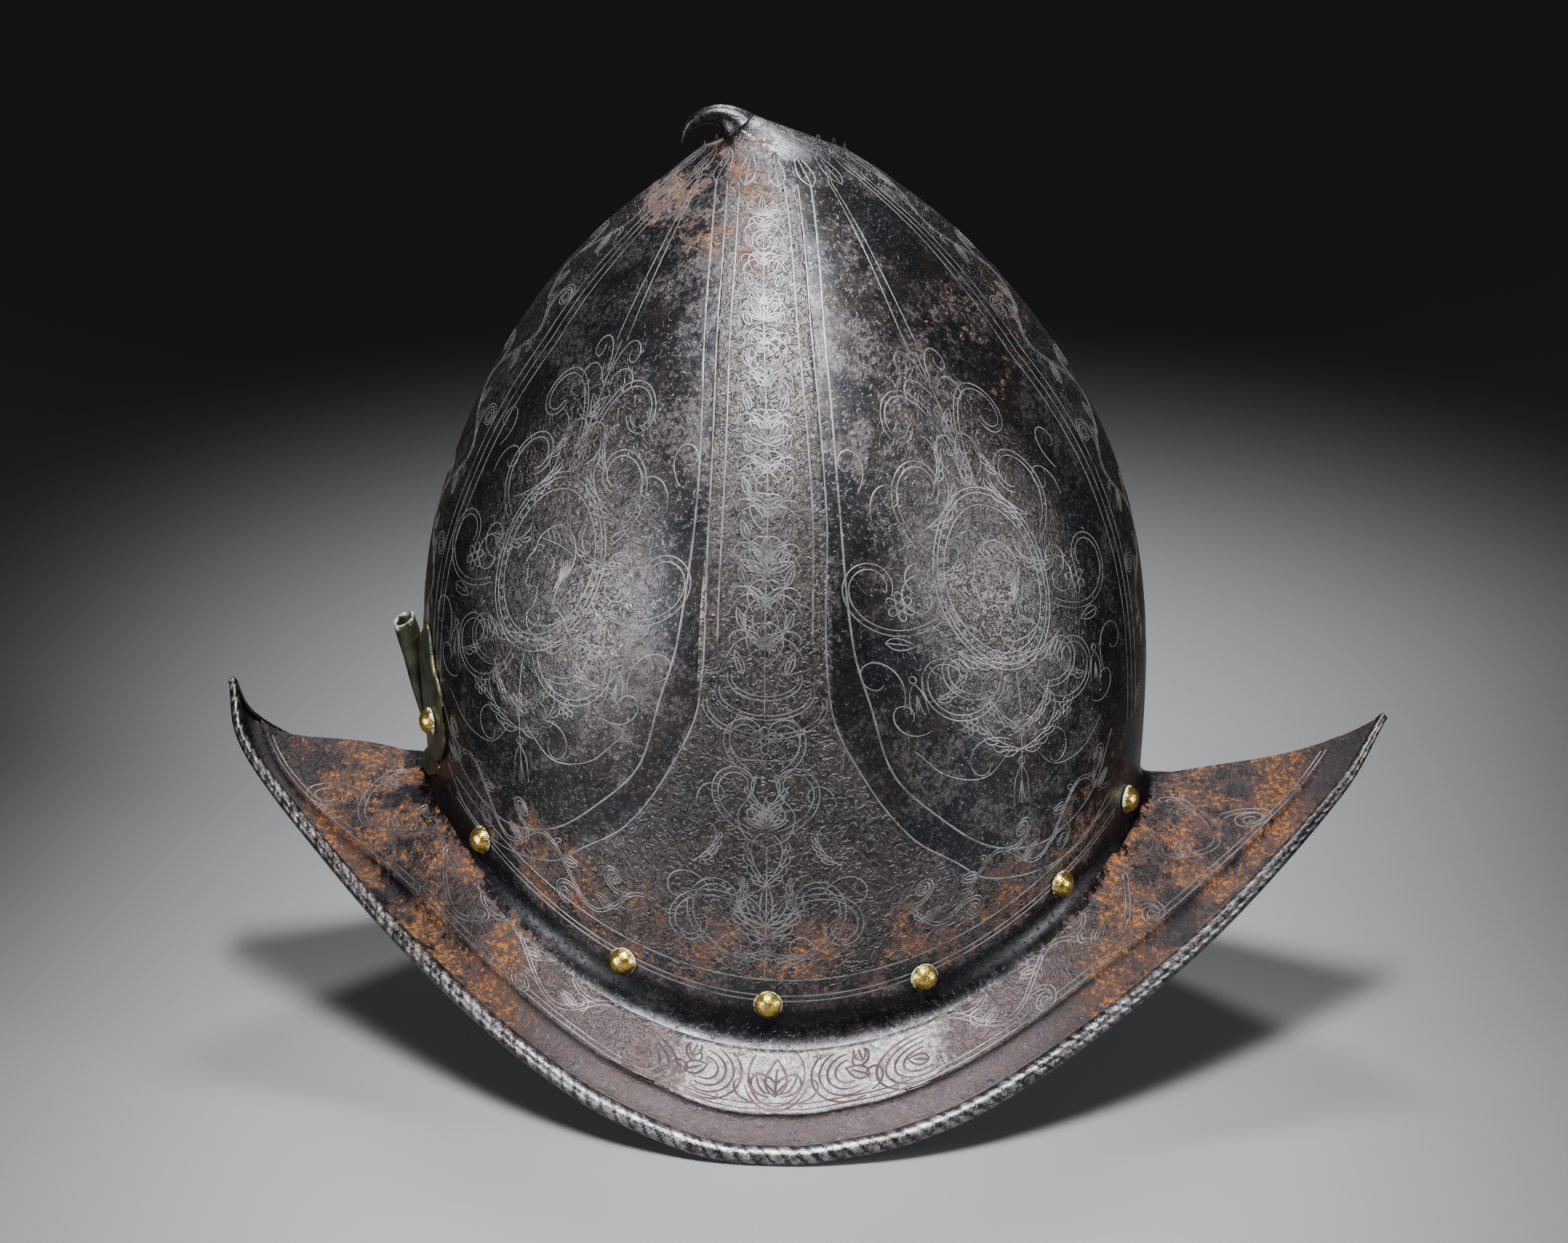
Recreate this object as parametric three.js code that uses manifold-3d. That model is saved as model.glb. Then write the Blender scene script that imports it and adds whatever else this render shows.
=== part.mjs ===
// A peaked morion: an almond-shaped steel skull and its brim raised from one plate, with a roped edge
// turned at the rim, a hooked stalk set on the apex, a row of brass-headed lining rivets round the foot
// of the skull, and a riveted plume holder at the rear.
// Millimetres. +X is the front, +Y the wearer's left and +Z up. The origin lies under the middle of the
// brim, at the level of its lowest edge.
import * as THREE from "three";
import { mergeVertices } from "three/addons/utils/BufferGeometryUtils.js";
import Module from "manifold-3d";

// Brim
const frontReach = 184.6; // skull's axis to the front tip
const rearReach = 168.9; // skull's axis to the rear tip
const brimWidth = 242;
const tipRise = 98; // lowest stretch of the edge to the front tip
const frontDish = 4.2; // how far the front peak sags below a straight ridge
const rearDish = 10;
const rollRadius = 3; // the turned and roped edge
const channelWidth = 9.5; // the sunken border inside the roped edge
const channelDepth = 2.2;
const fieldLift = 1; // the brim's field above the middle of the roped edge
const junctionFillet = 7;

// Skull
const skullLength = 218;
const skullWidth = 188;
const skullHeight = 201; // foot at the front to the top of the apex
const footHeight = 79.2; // foot at the front and rear above the lowest edge
const footSag = 51; // how much lower the foot is at the sides
const sheet = 1.3; // thickness of the steel

// Stalk, whose root lies on a sloping seat at the apex
const seatLength = 11.4;
const seatWidth = 9.6;
const seatSlope = THREE.MathUtils.degToRad(41);
const seatBack = 17; // skull's axis to the middle of the seat
const seatDrop = 4.2; // top of the apex to the middle of the seat
const stalkReach = 16.4; // seat to the stalk's point, towards the rear
const tangRadius = 1.7;
const tangLength = 5;

// Rivets
const headRadius = 4.2;
const headHeight = 3.6;
const shankRadius = 1.7;
const burrRadius = 3;
const burrHeight = 1.1;
const rivetRise = 10; // lining rivets above the skull's foot

// Plume holder
const plateHeight = 42; // top of the junction's fillet to the top of the plate
const plateHalfWidth = 34;
const plateThickness = 1.2;
const holderRivetOut = 25.5; // each rivet's distance from the middle
const holderRivetRise = 14; // above the fillet
const tubeRise = 2.8; // fillet to the bottom of the tube
const tubeHeight = 35;
const tubeMouthDepth = 5.8;
const tubeMouthWidth = 15;
const tubeMouthOff = 4.7; // plate to the middle of the mouth
const tubeWall = 0.8;

const clearance = 0.3; // between pieces that touch

// Fineness of the faceted shell
const columns = 80;
const outerRows = 11;
const innerRows = 7;

const { sin, cos, abs, hypot, min, PI } = Math;
const skullAxis = (rearReach - frontReach) / 2;
const apexHeight = footHeight + skullHeight;
const steel = new THREE.MeshStandardMaterial({ color: 0x3a3634, roughness: 0.42, metalness: 0.9 });
const brass = new THREE.MeshStandardMaterial({ color: 0x9a7b2c, roughness: 0.35, metalness: 0.9 });
const bronze = new THREE.MeshStandardMaterial({ color: 0x3b3f2e, roughness: 0.45, metalness: 0.8 });

const wasm = await Module();
wasm.setup();

// Horizontal sections of the skull. rise is a share of its height, length and width of its half length
// and half width, lean of its half length, towards the front. keel is 0 for an ellipse and 1 for two
// arcs that meet in a sharp edge.
const skullSections = [
  { rise: -0.27, length: 0.97, width: 0.97, lean: 0.018, keel: 0.02 },
  { rise: 0.0, length: 0.984, width: 0.992, lean: 0.018, keel: 0.05 },
  { rise: 0.2, length: 1.0, width: 1.0, lean: 0.004, keel: 0.08 },
  { rise: 0.36, length: 0.973, width: 0.972, lean: -0.002, keel: 0.12 },
  { rise: 0.5, length: 0.898, width: 0.89, lean: -0.003, keel: 0.17 },
  { rise: 0.62, length: 0.792, width: 0.775, lean: -0.012, keel: 0.22 },
  { rise: 0.74, length: 0.64, width: 0.62, lean: -0.026, keel: 0.28 },
  { rise: 0.84, length: 0.465, width: 0.45, lean: -0.033, keel: 0.33 },
  { rise: 0.91, length: 0.3, width: 0.3, lean: -0.043, keel: 0.36 },
  { rise: 0.95, length: 0.193, width: 0.205, lean: -0.058, keel: 0.36 },
];
const shoulderRise = 0.95; // above this the rings turn into the stalk's seat

// The roped edge, from the side to a tip. back is a share of the rear reach, front and rear of the
// tips' rise, and roll of the edge's radius: the rear tip curls up, and the edge thins towards both tips.
const edgeSections = [
  { along: 0, back: 0, front: 0, rear: 0, roll: 1 },
  { along: 0.051, back: 0.05, front: 0, rear: 0, roll: 1 },
  { along: 0.12, back: 0.118, front: 0.02, rear: 0.014, roll: 1 },
  { along: 0.2, back: 0.196, front: 0.046, rear: 0.05, roll: 1 },
  { along: 0.3, back: 0.295, front: 0.103, rear: 0.105, roll: 1 },
  { along: 0.4, back: 0.393, front: 0.187, rear: 0.18, roll: 1 },
  { along: 0.5, back: 0.491, front: 0.284, rear: 0.267, roll: 1 },
  { along: 0.6, back: 0.589, front: 0.388, rear: 0.362, roll: 0.98 },
  { along: 0.7, back: 0.69, front: 0.498, rear: 0.466, roll: 0.93 },
  { along: 0.8, back: 0.803, front: 0.627, rear: 0.606, roll: 0.84 },
  { along: 0.9, back: 0.929, front: 0.77, rear: 0.786, roll: 0.72 },
  { along: 0.95, back: 0.981, front: 0.858, rear: 0.892, roll: 0.62 },
  { along: 1, back: 1, front: 1, rear: 1.02, roll: 0.48 },
];

// The stalk's middle line and thickness, from the seat to its point: back and up are shares of its
// reach, thick of the seat's length and broad of its width.
const stalkSections = [
  { along: 0, back: 0, up: 0, tilt: 0, thick: 1, broad: 1 },
  { along: 0.15, back: 0.07, up: 0.08, tilt: 0.1, thick: 0.86, broad: 0.82 },
  { along: 0.3, back: 0.21, up: 0.18, tilt: 0.3, thick: 0.64, broad: 0.66 },
  { along: 0.48, back: 0.44, up: 0.22, tilt: 0.6, thick: 0.5, broad: 0.54 },
  { along: 0.65, back: 0.69, up: 0.15, tilt: 0.86, thick: 0.4, broad: 0.44 },
  { along: 0.8, back: 0.87, up: 0.02, tilt: 1.12, thick: 0.3, broad: 0.34 },
  { along: 0.92, back: 0.97, up: -0.18, tilt: 1.3, thick: 0.2, broad: 0.23 },
  { along: 1, back: 1, up: -0.33, tilt: 1.4, thick: 0.11, broad: 0.13 },
];

// The plume holder's scalloped plate: out is a share of its half width, low and high of its height. A
// low below 0 follows the fillet out over the brim.
const plateOutline = [
  { out: 0, low: -0.17, high: 0.8 },
  { out: 0.18, low: -0.17, high: 0.8 },
  { out: 0.34, low: -0.15, high: 0.85 },
  { out: 0.46, low: -0.1, high: 0.95 },
  { out: 0.6, low: -0.02, high: 1 },
  { out: 0.71, low: 0.02, high: 0.94 },
  { out: 0.79, low: 0.05, high: 0.82 },
  { out: 0.85, low: 0.08, high: 0.72 },
  { out: 0.93, low: 0.14, high: 0.66 },
  { out: 0.98, low: 0.24, high: 0.6 },
  { out: 1, low: 0.38, high: 0.5 },
];

// The plume's tube: up is a share of its height, off of its mouth's distance from the plate, and deep
// and wide of the mouth's size.
const tubeSections = [
  { up: 0, off: -0.06, deep: 0.17, wide: 0.4 },
  { up: 0.22, off: 0.11, deep: 0.45, wide: 0.56 },
  { up: 0.45, off: 0.28, deep: 0.72, wide: 0.7 },
  { up: 0.7, off: 0.45, deep: 0.95, wide: 0.83 },
  { up: 0.86, off: 0.68, deep: 1.08, wide: 0.93 },
  { up: 1, off: 1, deep: 1, wide: 1 },
];

// The places of the lining rivets on the wearer's right, in degrees from the side towards the front.
const rivetAngles = [-56, -25.5, -2, 22.6, 49, 70.5];

// A smooth curve through one column of a table, with each row's slope taken from its neighbours.
function readTable(rows, key, name, at) {
  const last = rows.length - 1;
  const t = Math.max(rows[0][key], min(rows[last][key], at));
  let i = 0;
  while (i < last - 1 && rows[i + 1][key] < t) i += 1;
  const slope = (j) => {
    const a = rows[Math.max(j - 1, 0)];
    const b = rows[min(j + 1, last)];
    return (b[name] - a[name]) / (b[key] - a[key]);
  };
  const step = rows[i + 1][key] - rows[i][key];
  const u = (t - rows[i][key]) / step;
  const [p, q] = [rows[i][name], rows[i + 1][name]];
  const blend = u * u * (3 - 2 * u);
  const lift = u * (1 - u) * step * ((1 - u) * slope(i) - u * slope(i + 1));
  return p + (q - p) * blend + lift;
}

// The skull's outer surface. Angle 0 is the wearer's right side and a quarter turn is the front.
function skullPoint(angle, height) {
  const rise = (height - footHeight) / skullHeight;
  const read = (name) => readTable(skullSections, "rise", name, rise);
  const along = sin(angle);
  const across = abs(cos(angle)) ** (1 + read("keel"));
  return new THREE.Vector3(
    skullAxis + (skullLength / 2) * (read("lean") + read("length") * along),
    (-skullWidth / 2) * read("width") * across * Math.sign(cos(angle) || 1),
    height,
  );
}

function skullNormal(angle, height) {
  const step = 0.01;
  const around = skullPoint(angle + step, height).sub(skullPoint(angle - step, height));
  const upward = skullPoint(angle, height + 1).sub(skullPoint(angle, height - 1));
  return around.cross(upward).normalize();
}

const sag = (angle) => footSag * abs(cos(angle)) ** 1.85;
const footAt = (angle) => footHeight - sag(angle);

// The angle at which the skull's rear lies a distance y from the middle plane.
function skullAngleAt(y, height) {
  let [low, high] = [0, PI / 2];
  for (let i = 0; i < 30; i += 1) {
    const middle = (low + high) / 2;
    if (abs(skullPoint(middle, height).y) > abs(y)) low = middle;
    else high = middle;
  }
  const quarter = (low + high) / 2;
  return y < 0 ? -quarter : quarter - PI;
}

// The seat of the stalk: its middle, its direction up the slope and its direction off the skull.
const seatMiddle = new THREE.Vector3(skullAxis - seatBack, 0, apexHeight - seatDrop);
const seatUphill = new THREE.Vector3(cos(seatSlope), 0, sin(seatSlope));
const seatNormal = new THREE.Vector3(-sin(seatSlope), 0, cos(seatSlope));

function seatPoint(angle, size) {
  return seatMiddle
    .clone()
    .addScaledVector(seatUphill, (size * seatLength * sin(angle)) / 2)
    .add(new THREE.Vector3(0, (-size * seatWidth * cos(angle)) / 2, 0));
}

const slantLimit = 1.7; // the most that a slanting section widens the border and the edge
const ridgeFade = 0.85; // share of the border's depth that is lost where it crosses the front ridge

// The middle of the roped edge. Each quarter turn of the angle runs from the side to a tip.
function edgePoint(angle) {
  const turned = Math.asin(sin(angle));
  const along = abs(turned) / (PI / 2);
  const tipRoll = rollRadius * edgeSections.at(-1).roll * slantLimit;
  const ahead = turned * (2 / PI) * (frontReach - tipRoll);
  const back = readTable(edgeSections, "along", "back", along) * (rearReach - tipRoll);
  const out = (1 - along ** 2.1) ** 1.12;
  const rise = tipRise * readTable(edgeSections, "along", turned > 0 ? "front" : "rear", along);
  return new THREE.Vector3(
    skullAxis + (turned > 0 ? ahead : -back),
    -(brimWidth / 2 - rollRadius) * out * Math.sign(cos(angle) || 1),
    rollRadius * cos(PI / 8) + Math.max(0, rise),
  );
}

// One section through the brim: points(s, h) lies s from the skull's foot towards the edge and h above
// the straight line between them. stretch widens the border where the section crosses it at a slant,
// and late moves the deepest part of a peak's dish towards its tip.
function brimFrame(angle) {
  const foot = skullPoint(angle, footAt(angle));
  const edge = edgePoint(angle);
  const outward = edge.clone().sub(foot);
  const length = outward.length();
  outward.normalize();
  const up = new THREE.Vector3(0, 0, 1);
  const normal = up.addScaledVector(outward, -up.dot(outward)).normalize();
  const inner = Math.asin(sin(angle)) * 0.98;
  const step = 0.004;
  const tangent = edgePoint(inner + step).sub(edgePoint(inner - step)).normalize();
  const crossing = Math.sign(cos(angle) || 1) > 0 ? outward : outward.clone().setY(-outward.y);
  const stretch = min(slantLimit, 1 / tangent.cross(crossing).length());
  const roll = rollRadius * readTable(edgeSections, "along", "roll", abs(Math.asin(sin(angle))) / (PI / 2));
  const [sagging, late] = sin(angle) > 0 ? [frontDish, 1.6] : [rearDish, 2.2];
  const dish = sagging * sin(angle) ** 4;
  const sunken = channelDepth * (1 - ridgeFade * Math.max(0, sin(angle)) ** 200);
  const fieldEnd = length - (roll + channelWidth) * stretch;
  const point = (s, h) => foot.clone().addScaledVector(outward, s).addScaledVector(normal, h);
  const bulge = (s) => fieldLift * min(1, s / fieldEnd) - dish * sin(PI * min(1, s / length) ** late);
  return { foot, length, stretch, roll, sunken, fieldEnd, point, bulge };
}

// The corners of the curve that joins the skull to the brim.
function filletGuides(angle) {
  const { foot, point, bulge } = brimFrame(angle);
  const start = skullPoint(angle, footAt(angle) + junctionFillet);
  return [start, foot, point(junctionFillet, bulge(junctionFillet))];
}

// The turned edge's points, an eighth of a turn apart, with a level flat where the helmet stands.
function rollAngles(angle) {
  const standing = abs(sin(angle)) < 0.1 ? angle : 0;
  const { point } = brimFrame(standing);
  const outward = point(1, 0).sub(point(0, 0));
  const slope = Math.atan2(outward.z, hypot(outward.x, outward.y));
  return [5, 3, 1, -1, -3, -5, -7].map((eighths) => (eighths * PI) / 8 - slope);
}

// One closed section of the shell, from the seat on the apex down the outside, round the edge and up
// the inside.
function shellColumn(angle) {
  const points = [];
  points.push(seatPoint(angle, 1));
  const shoulder = footHeight + shoulderRise * skullHeight;
  points.push(seatPoint(angle, 1).lerp(skullPoint(angle, shoulder), 0.45));
  const wall = footAt(angle) + junctionFillet;
  for (let row = 0; row <= outerRows; row += 1) {
    const share = (row / outerRows) ** 1.3;
    points.push(skullPoint(angle, shoulder + (wall - shoulder) * share));
  }
  const { length, stretch, roll, sunken, fieldEnd, point, bulge } = brimFrame(angle);
  const [start, foot, landing] = filletGuides(angle);
  for (const turn of [0.35, 0.7]) {
    points.push(start.clone().lerp(foot, turn).lerp(foot.clone().lerp(landing, turn), turn));
  }
  points.push(landing);
  points.push(point((junctionFillet + fieldEnd) / 2, bulge((junctionFillet + fieldEnd) / 2)));
  points.push(point(fieldEnd, bulge(fieldEnd)));
  const channel = (u, depth) => {
    const s = fieldEnd + u * channelWidth * stretch;
    return point(s, bulge(s) - depth * sunken);
  };
  points.push(channel(0.2, 0.75), channel(0.5, 1), channel(0.8, 0.85));
  for (const a of rollAngles(angle)) {
    points.push(point(length + roll * stretch * cos(a), roll * sin(a)));
  }
  const under = (s, depth) => point(s, bulge(s) - depth - sheet);
  points.push(under(fieldEnd + 0.75 * channelWidth * stretch, sunken));
  points.push(under(fieldEnd, 0.4));
  points.push(under((junctionFillet + fieldEnd) / 2, 0));
  const inset = (height) =>
    skullPoint(angle, height).addScaledVector(skullNormal(angle, height), -sheet);
  points.push(under(junctionFillet * 0.55, 0));
  points.push(inset(footAt(angle) + junctionFillet * 0.35));
  const crown = footHeight + 0.91 * skullHeight;
  for (let row = 0; row <= innerRows; row += 1) {
    const share = 1 - (1 - row / innerRows) ** 1.3;
    points.push(inset(wall + (crown - wall) * share));
  }
  return points;
}

// A closed surface through rings of equal length, with a fan over the first and the last.
function loft(rings, firstMiddle, lastMiddle) {
  const size = rings[0].length;
  const flat = rings.flat().concat([firstMiddle, lastMiddle]);
  const index = [];
  const at = (ring, i) => ring * size + (i % size);
  const [first, last] = [flat.length - 2, flat.length - 1];
  for (let i = 0; i < size; i += 1) {
    index.push(first, at(0, i), at(0, i + 1));
    for (let ring = 0; ring < rings.length - 1; ring += 1) {
      const [a, b] = [at(ring, i), at(ring, i + 1)];
      const [c, d] = [at(ring + 1, i), at(ring + 1, i + 1)];
      index.push(a, c, b, b, c, d);
    }
    index.push(last, at(rings.length - 1, i + 1), at(rings.length - 1, i));
  }
  const geometry = new THREE.BufferGeometry().setFromPoints(flat);
  geometry.setIndex(index);
  return geometry;
}

const middleOf = (ring) =>
  ring.reduce((sum, p) => sum.add(p), new THREE.Vector3()).divideScalar(ring.length);

function toSolid(geometry) {
  const bare = geometry.clone();
  bare.deleteAttribute("normal");
  bare.deleteAttribute("uv");
  const merged = mergeVertices(bare, 1e-4);
  const vertProperties = new Float32Array(merged.attributes.position.array);
  const triVerts = new Uint32Array(merged.index.array);
  return new wasm.Manifold(new wasm.Mesh({ numProp: 3, vertProperties, triVerts }));
}

function toMesh(name, solid, material) {
  const { vertProperties, triVerts } = solid.getMesh();
  const geometry = new THREE.BufferGeometry();
  geometry.setAttribute("position", new THREE.BufferAttribute(vertProperties, 3));
  geometry.setIndex(new THREE.BufferAttribute(triVerts, 1));
  geometry.computeVertexNormals();
  const mesh = new THREE.Mesh(geometry, material);
  mesh.name = name;
  return mesh;
}

// A cylinder from one point along a direction, as a cutter.
function cutter(from, direction, radius, length, sides = 12) {
  const geometry = new THREE.CylinderGeometry(radius, radius, length, sides);
  const turn = new THREE.Quaternion().setFromUnitVectors(new THREE.Vector3(0, 1, 0), direction);
  geometry.translate(0, length / 2, 0);
  geometry.applyQuaternion(turn);
  geometry.translate(from.x, from.y, from.z);
  return toSolid(geometry);
}

function shell(rivetPlaces) {
  const sections = [];
  for (let i = 0; i < columns; i += 1) sections.push(shellColumn((i * 2 * PI) / columns));
  const rings = sections[0].map((_, row) => sections.map((section) => section[row]));
  const innerTop = new THREE.Vector3(skullAxis - seatBack / 2, 0, apexHeight - 17);
  let solid = toSolid(loft(rings, seatMiddle, innerTop));
  for (const { place, normal, depth } of rivetPlaces) {
    const from = place.clone().addScaledVector(normal, -depth - 4);
    solid = solid.subtract(cutter(from, normal, shankRadius + clearance, depth + 8));
  }
  const hole = tangLength + clearance;
  const tangFoot = seatMiddle.clone().addScaledVector(seatNormal, -hole);
  return solid.subtract(cutter(tangFoot, seatNormal, tangRadius + clearance, hole + 4));
}

// The hooked stalk, with a short tang that goes into the apex.
function stalk() {
  const sides = 12;
  const rings = stalkSections.map(({ back, up, tilt, thick, broad }) => {
    const middle = seatMiddle
      .clone()
      .addScaledVector(seatNormal, clearance)
      .add(new THREE.Vector3(-back * stalkReach, 0, up * stalkReach));
    const slope = seatSlope + tilt;
    const across = new THREE.Vector3(cos(slope), 0, sin(slope));
    return Array.from({ length: sides }, (_, i) => {
      const a = (i * 2 * PI) / sides;
      return middle
        .clone()
        .addScaledVector(across, (thick * seatLength * sin(a)) / 2)
        .add(new THREE.Vector3(0, (-broad * seatWidth * cos(a)) / 2, 0));
    });
  });
  const body = toSolid(loft(rings.reverse(), middleOf(rings[0]), middleOf(rings.at(-1))));
  const foot = seatMiddle.clone().addScaledVector(seatNormal, -tangLength);
  return body.add(cutter(foot, seatNormal, tangRadius, tangLength + 2));
}

// A rivet with a domed head outside the plate that it holds and a burr hammered over inside.
function rivet(name, { place, normal, depth }, material) {
  const inside = -depth - clearance;
  const profile = [
    [0, inside - burrHeight],
    [burrRadius, inside - burrHeight / 2],
    [burrRadius, inside],
    [shankRadius, inside],
    [shankRadius, clearance],
    [headRadius, clearance],
    [headRadius * 0.97, clearance + headHeight * 0.3],
    [headRadius * 0.78, clearance + headHeight * 0.65],
    [headRadius * 0.42, clearance + headHeight * 0.93],
    [0, clearance + headHeight],
  ].map(([x, y]) => new THREE.Vector2(x, y));
  const mesh = new THREE.Mesh(new THREE.LatheGeometry(profile, 10), material);
  mesh.name = name;
  mesh.position.copy(place);
  mesh.quaternion.setFromUnitVectors(new THREE.Vector3(0, 1, 0), normal);
  return mesh;
}

function liningRivetPlaces() {
  return rivetAngles.flatMap((degrees, i) =>
    ["right", "left"].map((side) => {
      const quarter = THREE.MathUtils.degToRad(degrees);
      const angle = side === "right" ? quarter : PI - quarter;
      const height = footAt(angle) + rivetRise;
      const place = skullPoint(angle, height);
      const normal = skullNormal(angle, height);
      return { name: `lining_rivet_${side}_${i + 1}`, place, normal, depth: sheet };
    }),
  );
}

const plateFoot = footHeight + junctionFillet;
const filletTurn = 4; // how far round the fillet a whole plate's height would reach
const plateGap = clearance + plateThickness;

function rearPoint(y, height, off) {
  const angle = skullAngleAt(y, height);
  return skullPoint(angle, height).addScaledVector(skullNormal(angle, height), off);
}

// A point off the fillet at the rear, turn of the way from the skull to the brim.
function rearFilletPoint(y, turn, off) {
  const angle = skullAngleAt(y, plateFoot);
  const [start, foot, landing] = filletGuides(angle);
  const upper = start.clone().lerp(foot, turn);
  const lower = foot.clone().lerp(landing, turn);
  const downward = lower.clone().sub(upper);
  const around = new THREE.Vector3(cos(angle), -sin(angle), 0);
  const normal = downward.cross(around).normalize();
  return upper.lerp(lower, turn).addScaledVector(normal, normal.z < 0 ? -off : off);
}

function holderRivetPlaces() {
  return ["right", "left"].map((side) => {
    const y = side === "right" ? -holderRivetOut : holderRivetOut;
    const height = plateFoot + holderRivetRise;
    const normal = skullNormal(skullAngleAt(y, height), height);
    const place = rearPoint(y, height, plateGap);
    return { name: `holder_rivet_${side}`, place, normal, depth: sheet + plateGap };
  });
}

// The lobed plate, which follows the skull, with the plume's tapered tube soldered to it.
function plumeHolder(rivetPlaces) {
  const body = (rings) => toSolid(loft(rings, middleOf(rings[0]), middleOf(rings.at(-1))));
  const half = plateOutline.map((row) => ({ ...row, y: row.out * plateHalfWidth }));
  const whole = [...half.slice(1).reverse().map((row) => ({ ...row, y: -row.y })), ...half];
  const rows = 5;
  const plateRings = whole.map(({ y, low, high }) => {
    const strip = (off) =>
      Array.from({ length: rows + 1 }, (_, i) => {
        const up = low + (high - low) * (i / rows) ** 1.25;
        if (up < 0) return rearFilletPoint(y, -up * filletTurn, off);
        return rearPoint(y, plateFoot + up * plateHeight, off);
      });
    return [...strip(clearance), ...strip(plateGap).reverse()];
  });
  const sides = 16;
  const rounded = (value) => Math.sign(value) * abs(value) ** 0.75;
  const tubeRings = (wall, rows) =>
    rows.map(({ up, off, deep, wide }) => {
      const height = plateFoot + tubeRise + up * tubeHeight;
      const middle = rearPoint(0, min(height, plateFoot + plateHeight), plateGap).x - off * tubeMouthOff;
      const depth = (deep * tubeMouthDepth) / 2 - wall;
      const width = (wide * tubeMouthWidth) / 2 - wall;
      return Array.from({ length: sides }, (_, i) => {
        const a = (i * 2 * PI) / sides;
        const inward = depth * rounded(cos(a));
        return new THREE.Vector3(middle + inward, -width * rounded(sin(a)), height + up * inward * 0.33);
      });
    });
  const mouth = tubeSections.at(-1);
  const above = { ...mouth, up: 1.1, off: 1.35 };
  const hollow = tubeSections.filter(({ deep }) => deep > 0.5).concat([above]);
  let holder = body(plateRings).add(body(tubeRings(0, tubeSections)));
  holder = holder.subtract(body(tubeRings(tubeWall, hollow)));
  for (const { place, normal } of rivetPlaces) {
    const from = place.clone().addScaledVector(normal, -4);
    holder = holder.subtract(cutter(from, normal, shankRadius + clearance, 8));
  }
  return holder;
}

const morion = new THREE.Group();
const liningRivets = liningRivetPlaces();
const holderRivets = holderRivetPlaces();
morion.add(toMesh("helmet_shell", shell([...liningRivets, ...holderRivets]), steel));
morion.add(toMesh("apex_stalk", stalk(), steel));
morion.add(toMesh("plume_holder", plumeHolder(holderRivets), bronze));
for (const place of [...liningRivets, ...holderRivets]) morion.add(rivet(place.name, place, brass));

export default morion;
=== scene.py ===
"""The looks of a peaked morion, built round its CAD frame: a dark etched and rusted steel shell with a
roped edge, brass-headed rivets, a hooked stalk and a patinated plume holder.

Sizes are in millimetres until a mesh is made, and the frame is in metres. +X is the front of the
helmet, +Y the wearer's left and +Z up.
"""

import math

import bpy
import numpy as np
from mathutils import Matrix, Vector


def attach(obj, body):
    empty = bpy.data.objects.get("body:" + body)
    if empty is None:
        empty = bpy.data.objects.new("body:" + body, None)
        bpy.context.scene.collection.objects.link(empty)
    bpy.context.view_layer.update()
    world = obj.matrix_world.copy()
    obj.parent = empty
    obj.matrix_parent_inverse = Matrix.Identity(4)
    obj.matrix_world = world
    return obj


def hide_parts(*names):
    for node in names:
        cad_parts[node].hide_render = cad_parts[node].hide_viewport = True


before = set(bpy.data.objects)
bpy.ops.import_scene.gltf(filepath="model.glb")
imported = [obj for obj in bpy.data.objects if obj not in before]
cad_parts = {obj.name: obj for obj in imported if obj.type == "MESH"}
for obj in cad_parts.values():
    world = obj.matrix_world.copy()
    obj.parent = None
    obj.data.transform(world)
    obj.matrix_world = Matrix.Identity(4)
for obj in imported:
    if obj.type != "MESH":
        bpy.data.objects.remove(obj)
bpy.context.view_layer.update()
MM = 0.001

# Driving dimensions, the same as the CAD part's
FRONT_REACH = 184.6
REAR_REACH = 168.9
BRIM_WIDTH = 242
TIP_RISE = 98
FRONT_DISH, FRONT_DISH_LATE = 4.2, 1.6
REAR_DISH, REAR_DISH_LATE = 10, 2.2
ROLL_RADIUS = 3
CHANNEL_WIDTH = 9.5
CHANNEL_DEPTH = 2.2
FIELD_LIFT = 1
FILLET = 7
SKULL_LENGTH = 218
SKULL_WIDTH = 188
SKULL_HEIGHT = 201
FOOT_HEIGHT = 79.2
FOOT_SAG = 51
FOOT_CURVE = 1.85
SHEET = 1.3
SEAT_LENGTH = 11.4
SEAT_WIDTH = 9.6
SEAT_SLOPE = math.radians(41)
SEAT_BACK = 17
SEAT_DROP = 4.2
STALK_REACH = 16.4
HEAD_RADIUS = 4.2
HEAD_HEIGHT = 3.6
RIVET_RISE = 10
PLATE_HEIGHT = 42
PLATE_HALF_WIDTH = 34
PLATE_THICKNESS = 1.2
HOLDER_RIVET_OUT = 25.5
HOLDER_RIVET_RISE = 14
TUBE_RISE = 2.8
TUBE_HEIGHT = 35
TUBE_MOUTH_DEPTH = 5.8
TUBE_MOUTH_WIDTH = 15
TUBE_MOUTH_OFF = 4.7
TUBE_WALL = 0.8
CLEARANCE = 0.3
SKULL_AXIS = (REAR_REACH - FRONT_REACH) / 2
APEX_HEIGHT = FOOT_HEIGHT + SKULL_HEIGHT
PLATE_FOOT = FOOT_HEIGHT + FILLET
PLATE_GAP = CLEARANCE + PLATE_THICKNESS
SIDES = {"right": 1, "left": -1}

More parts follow.
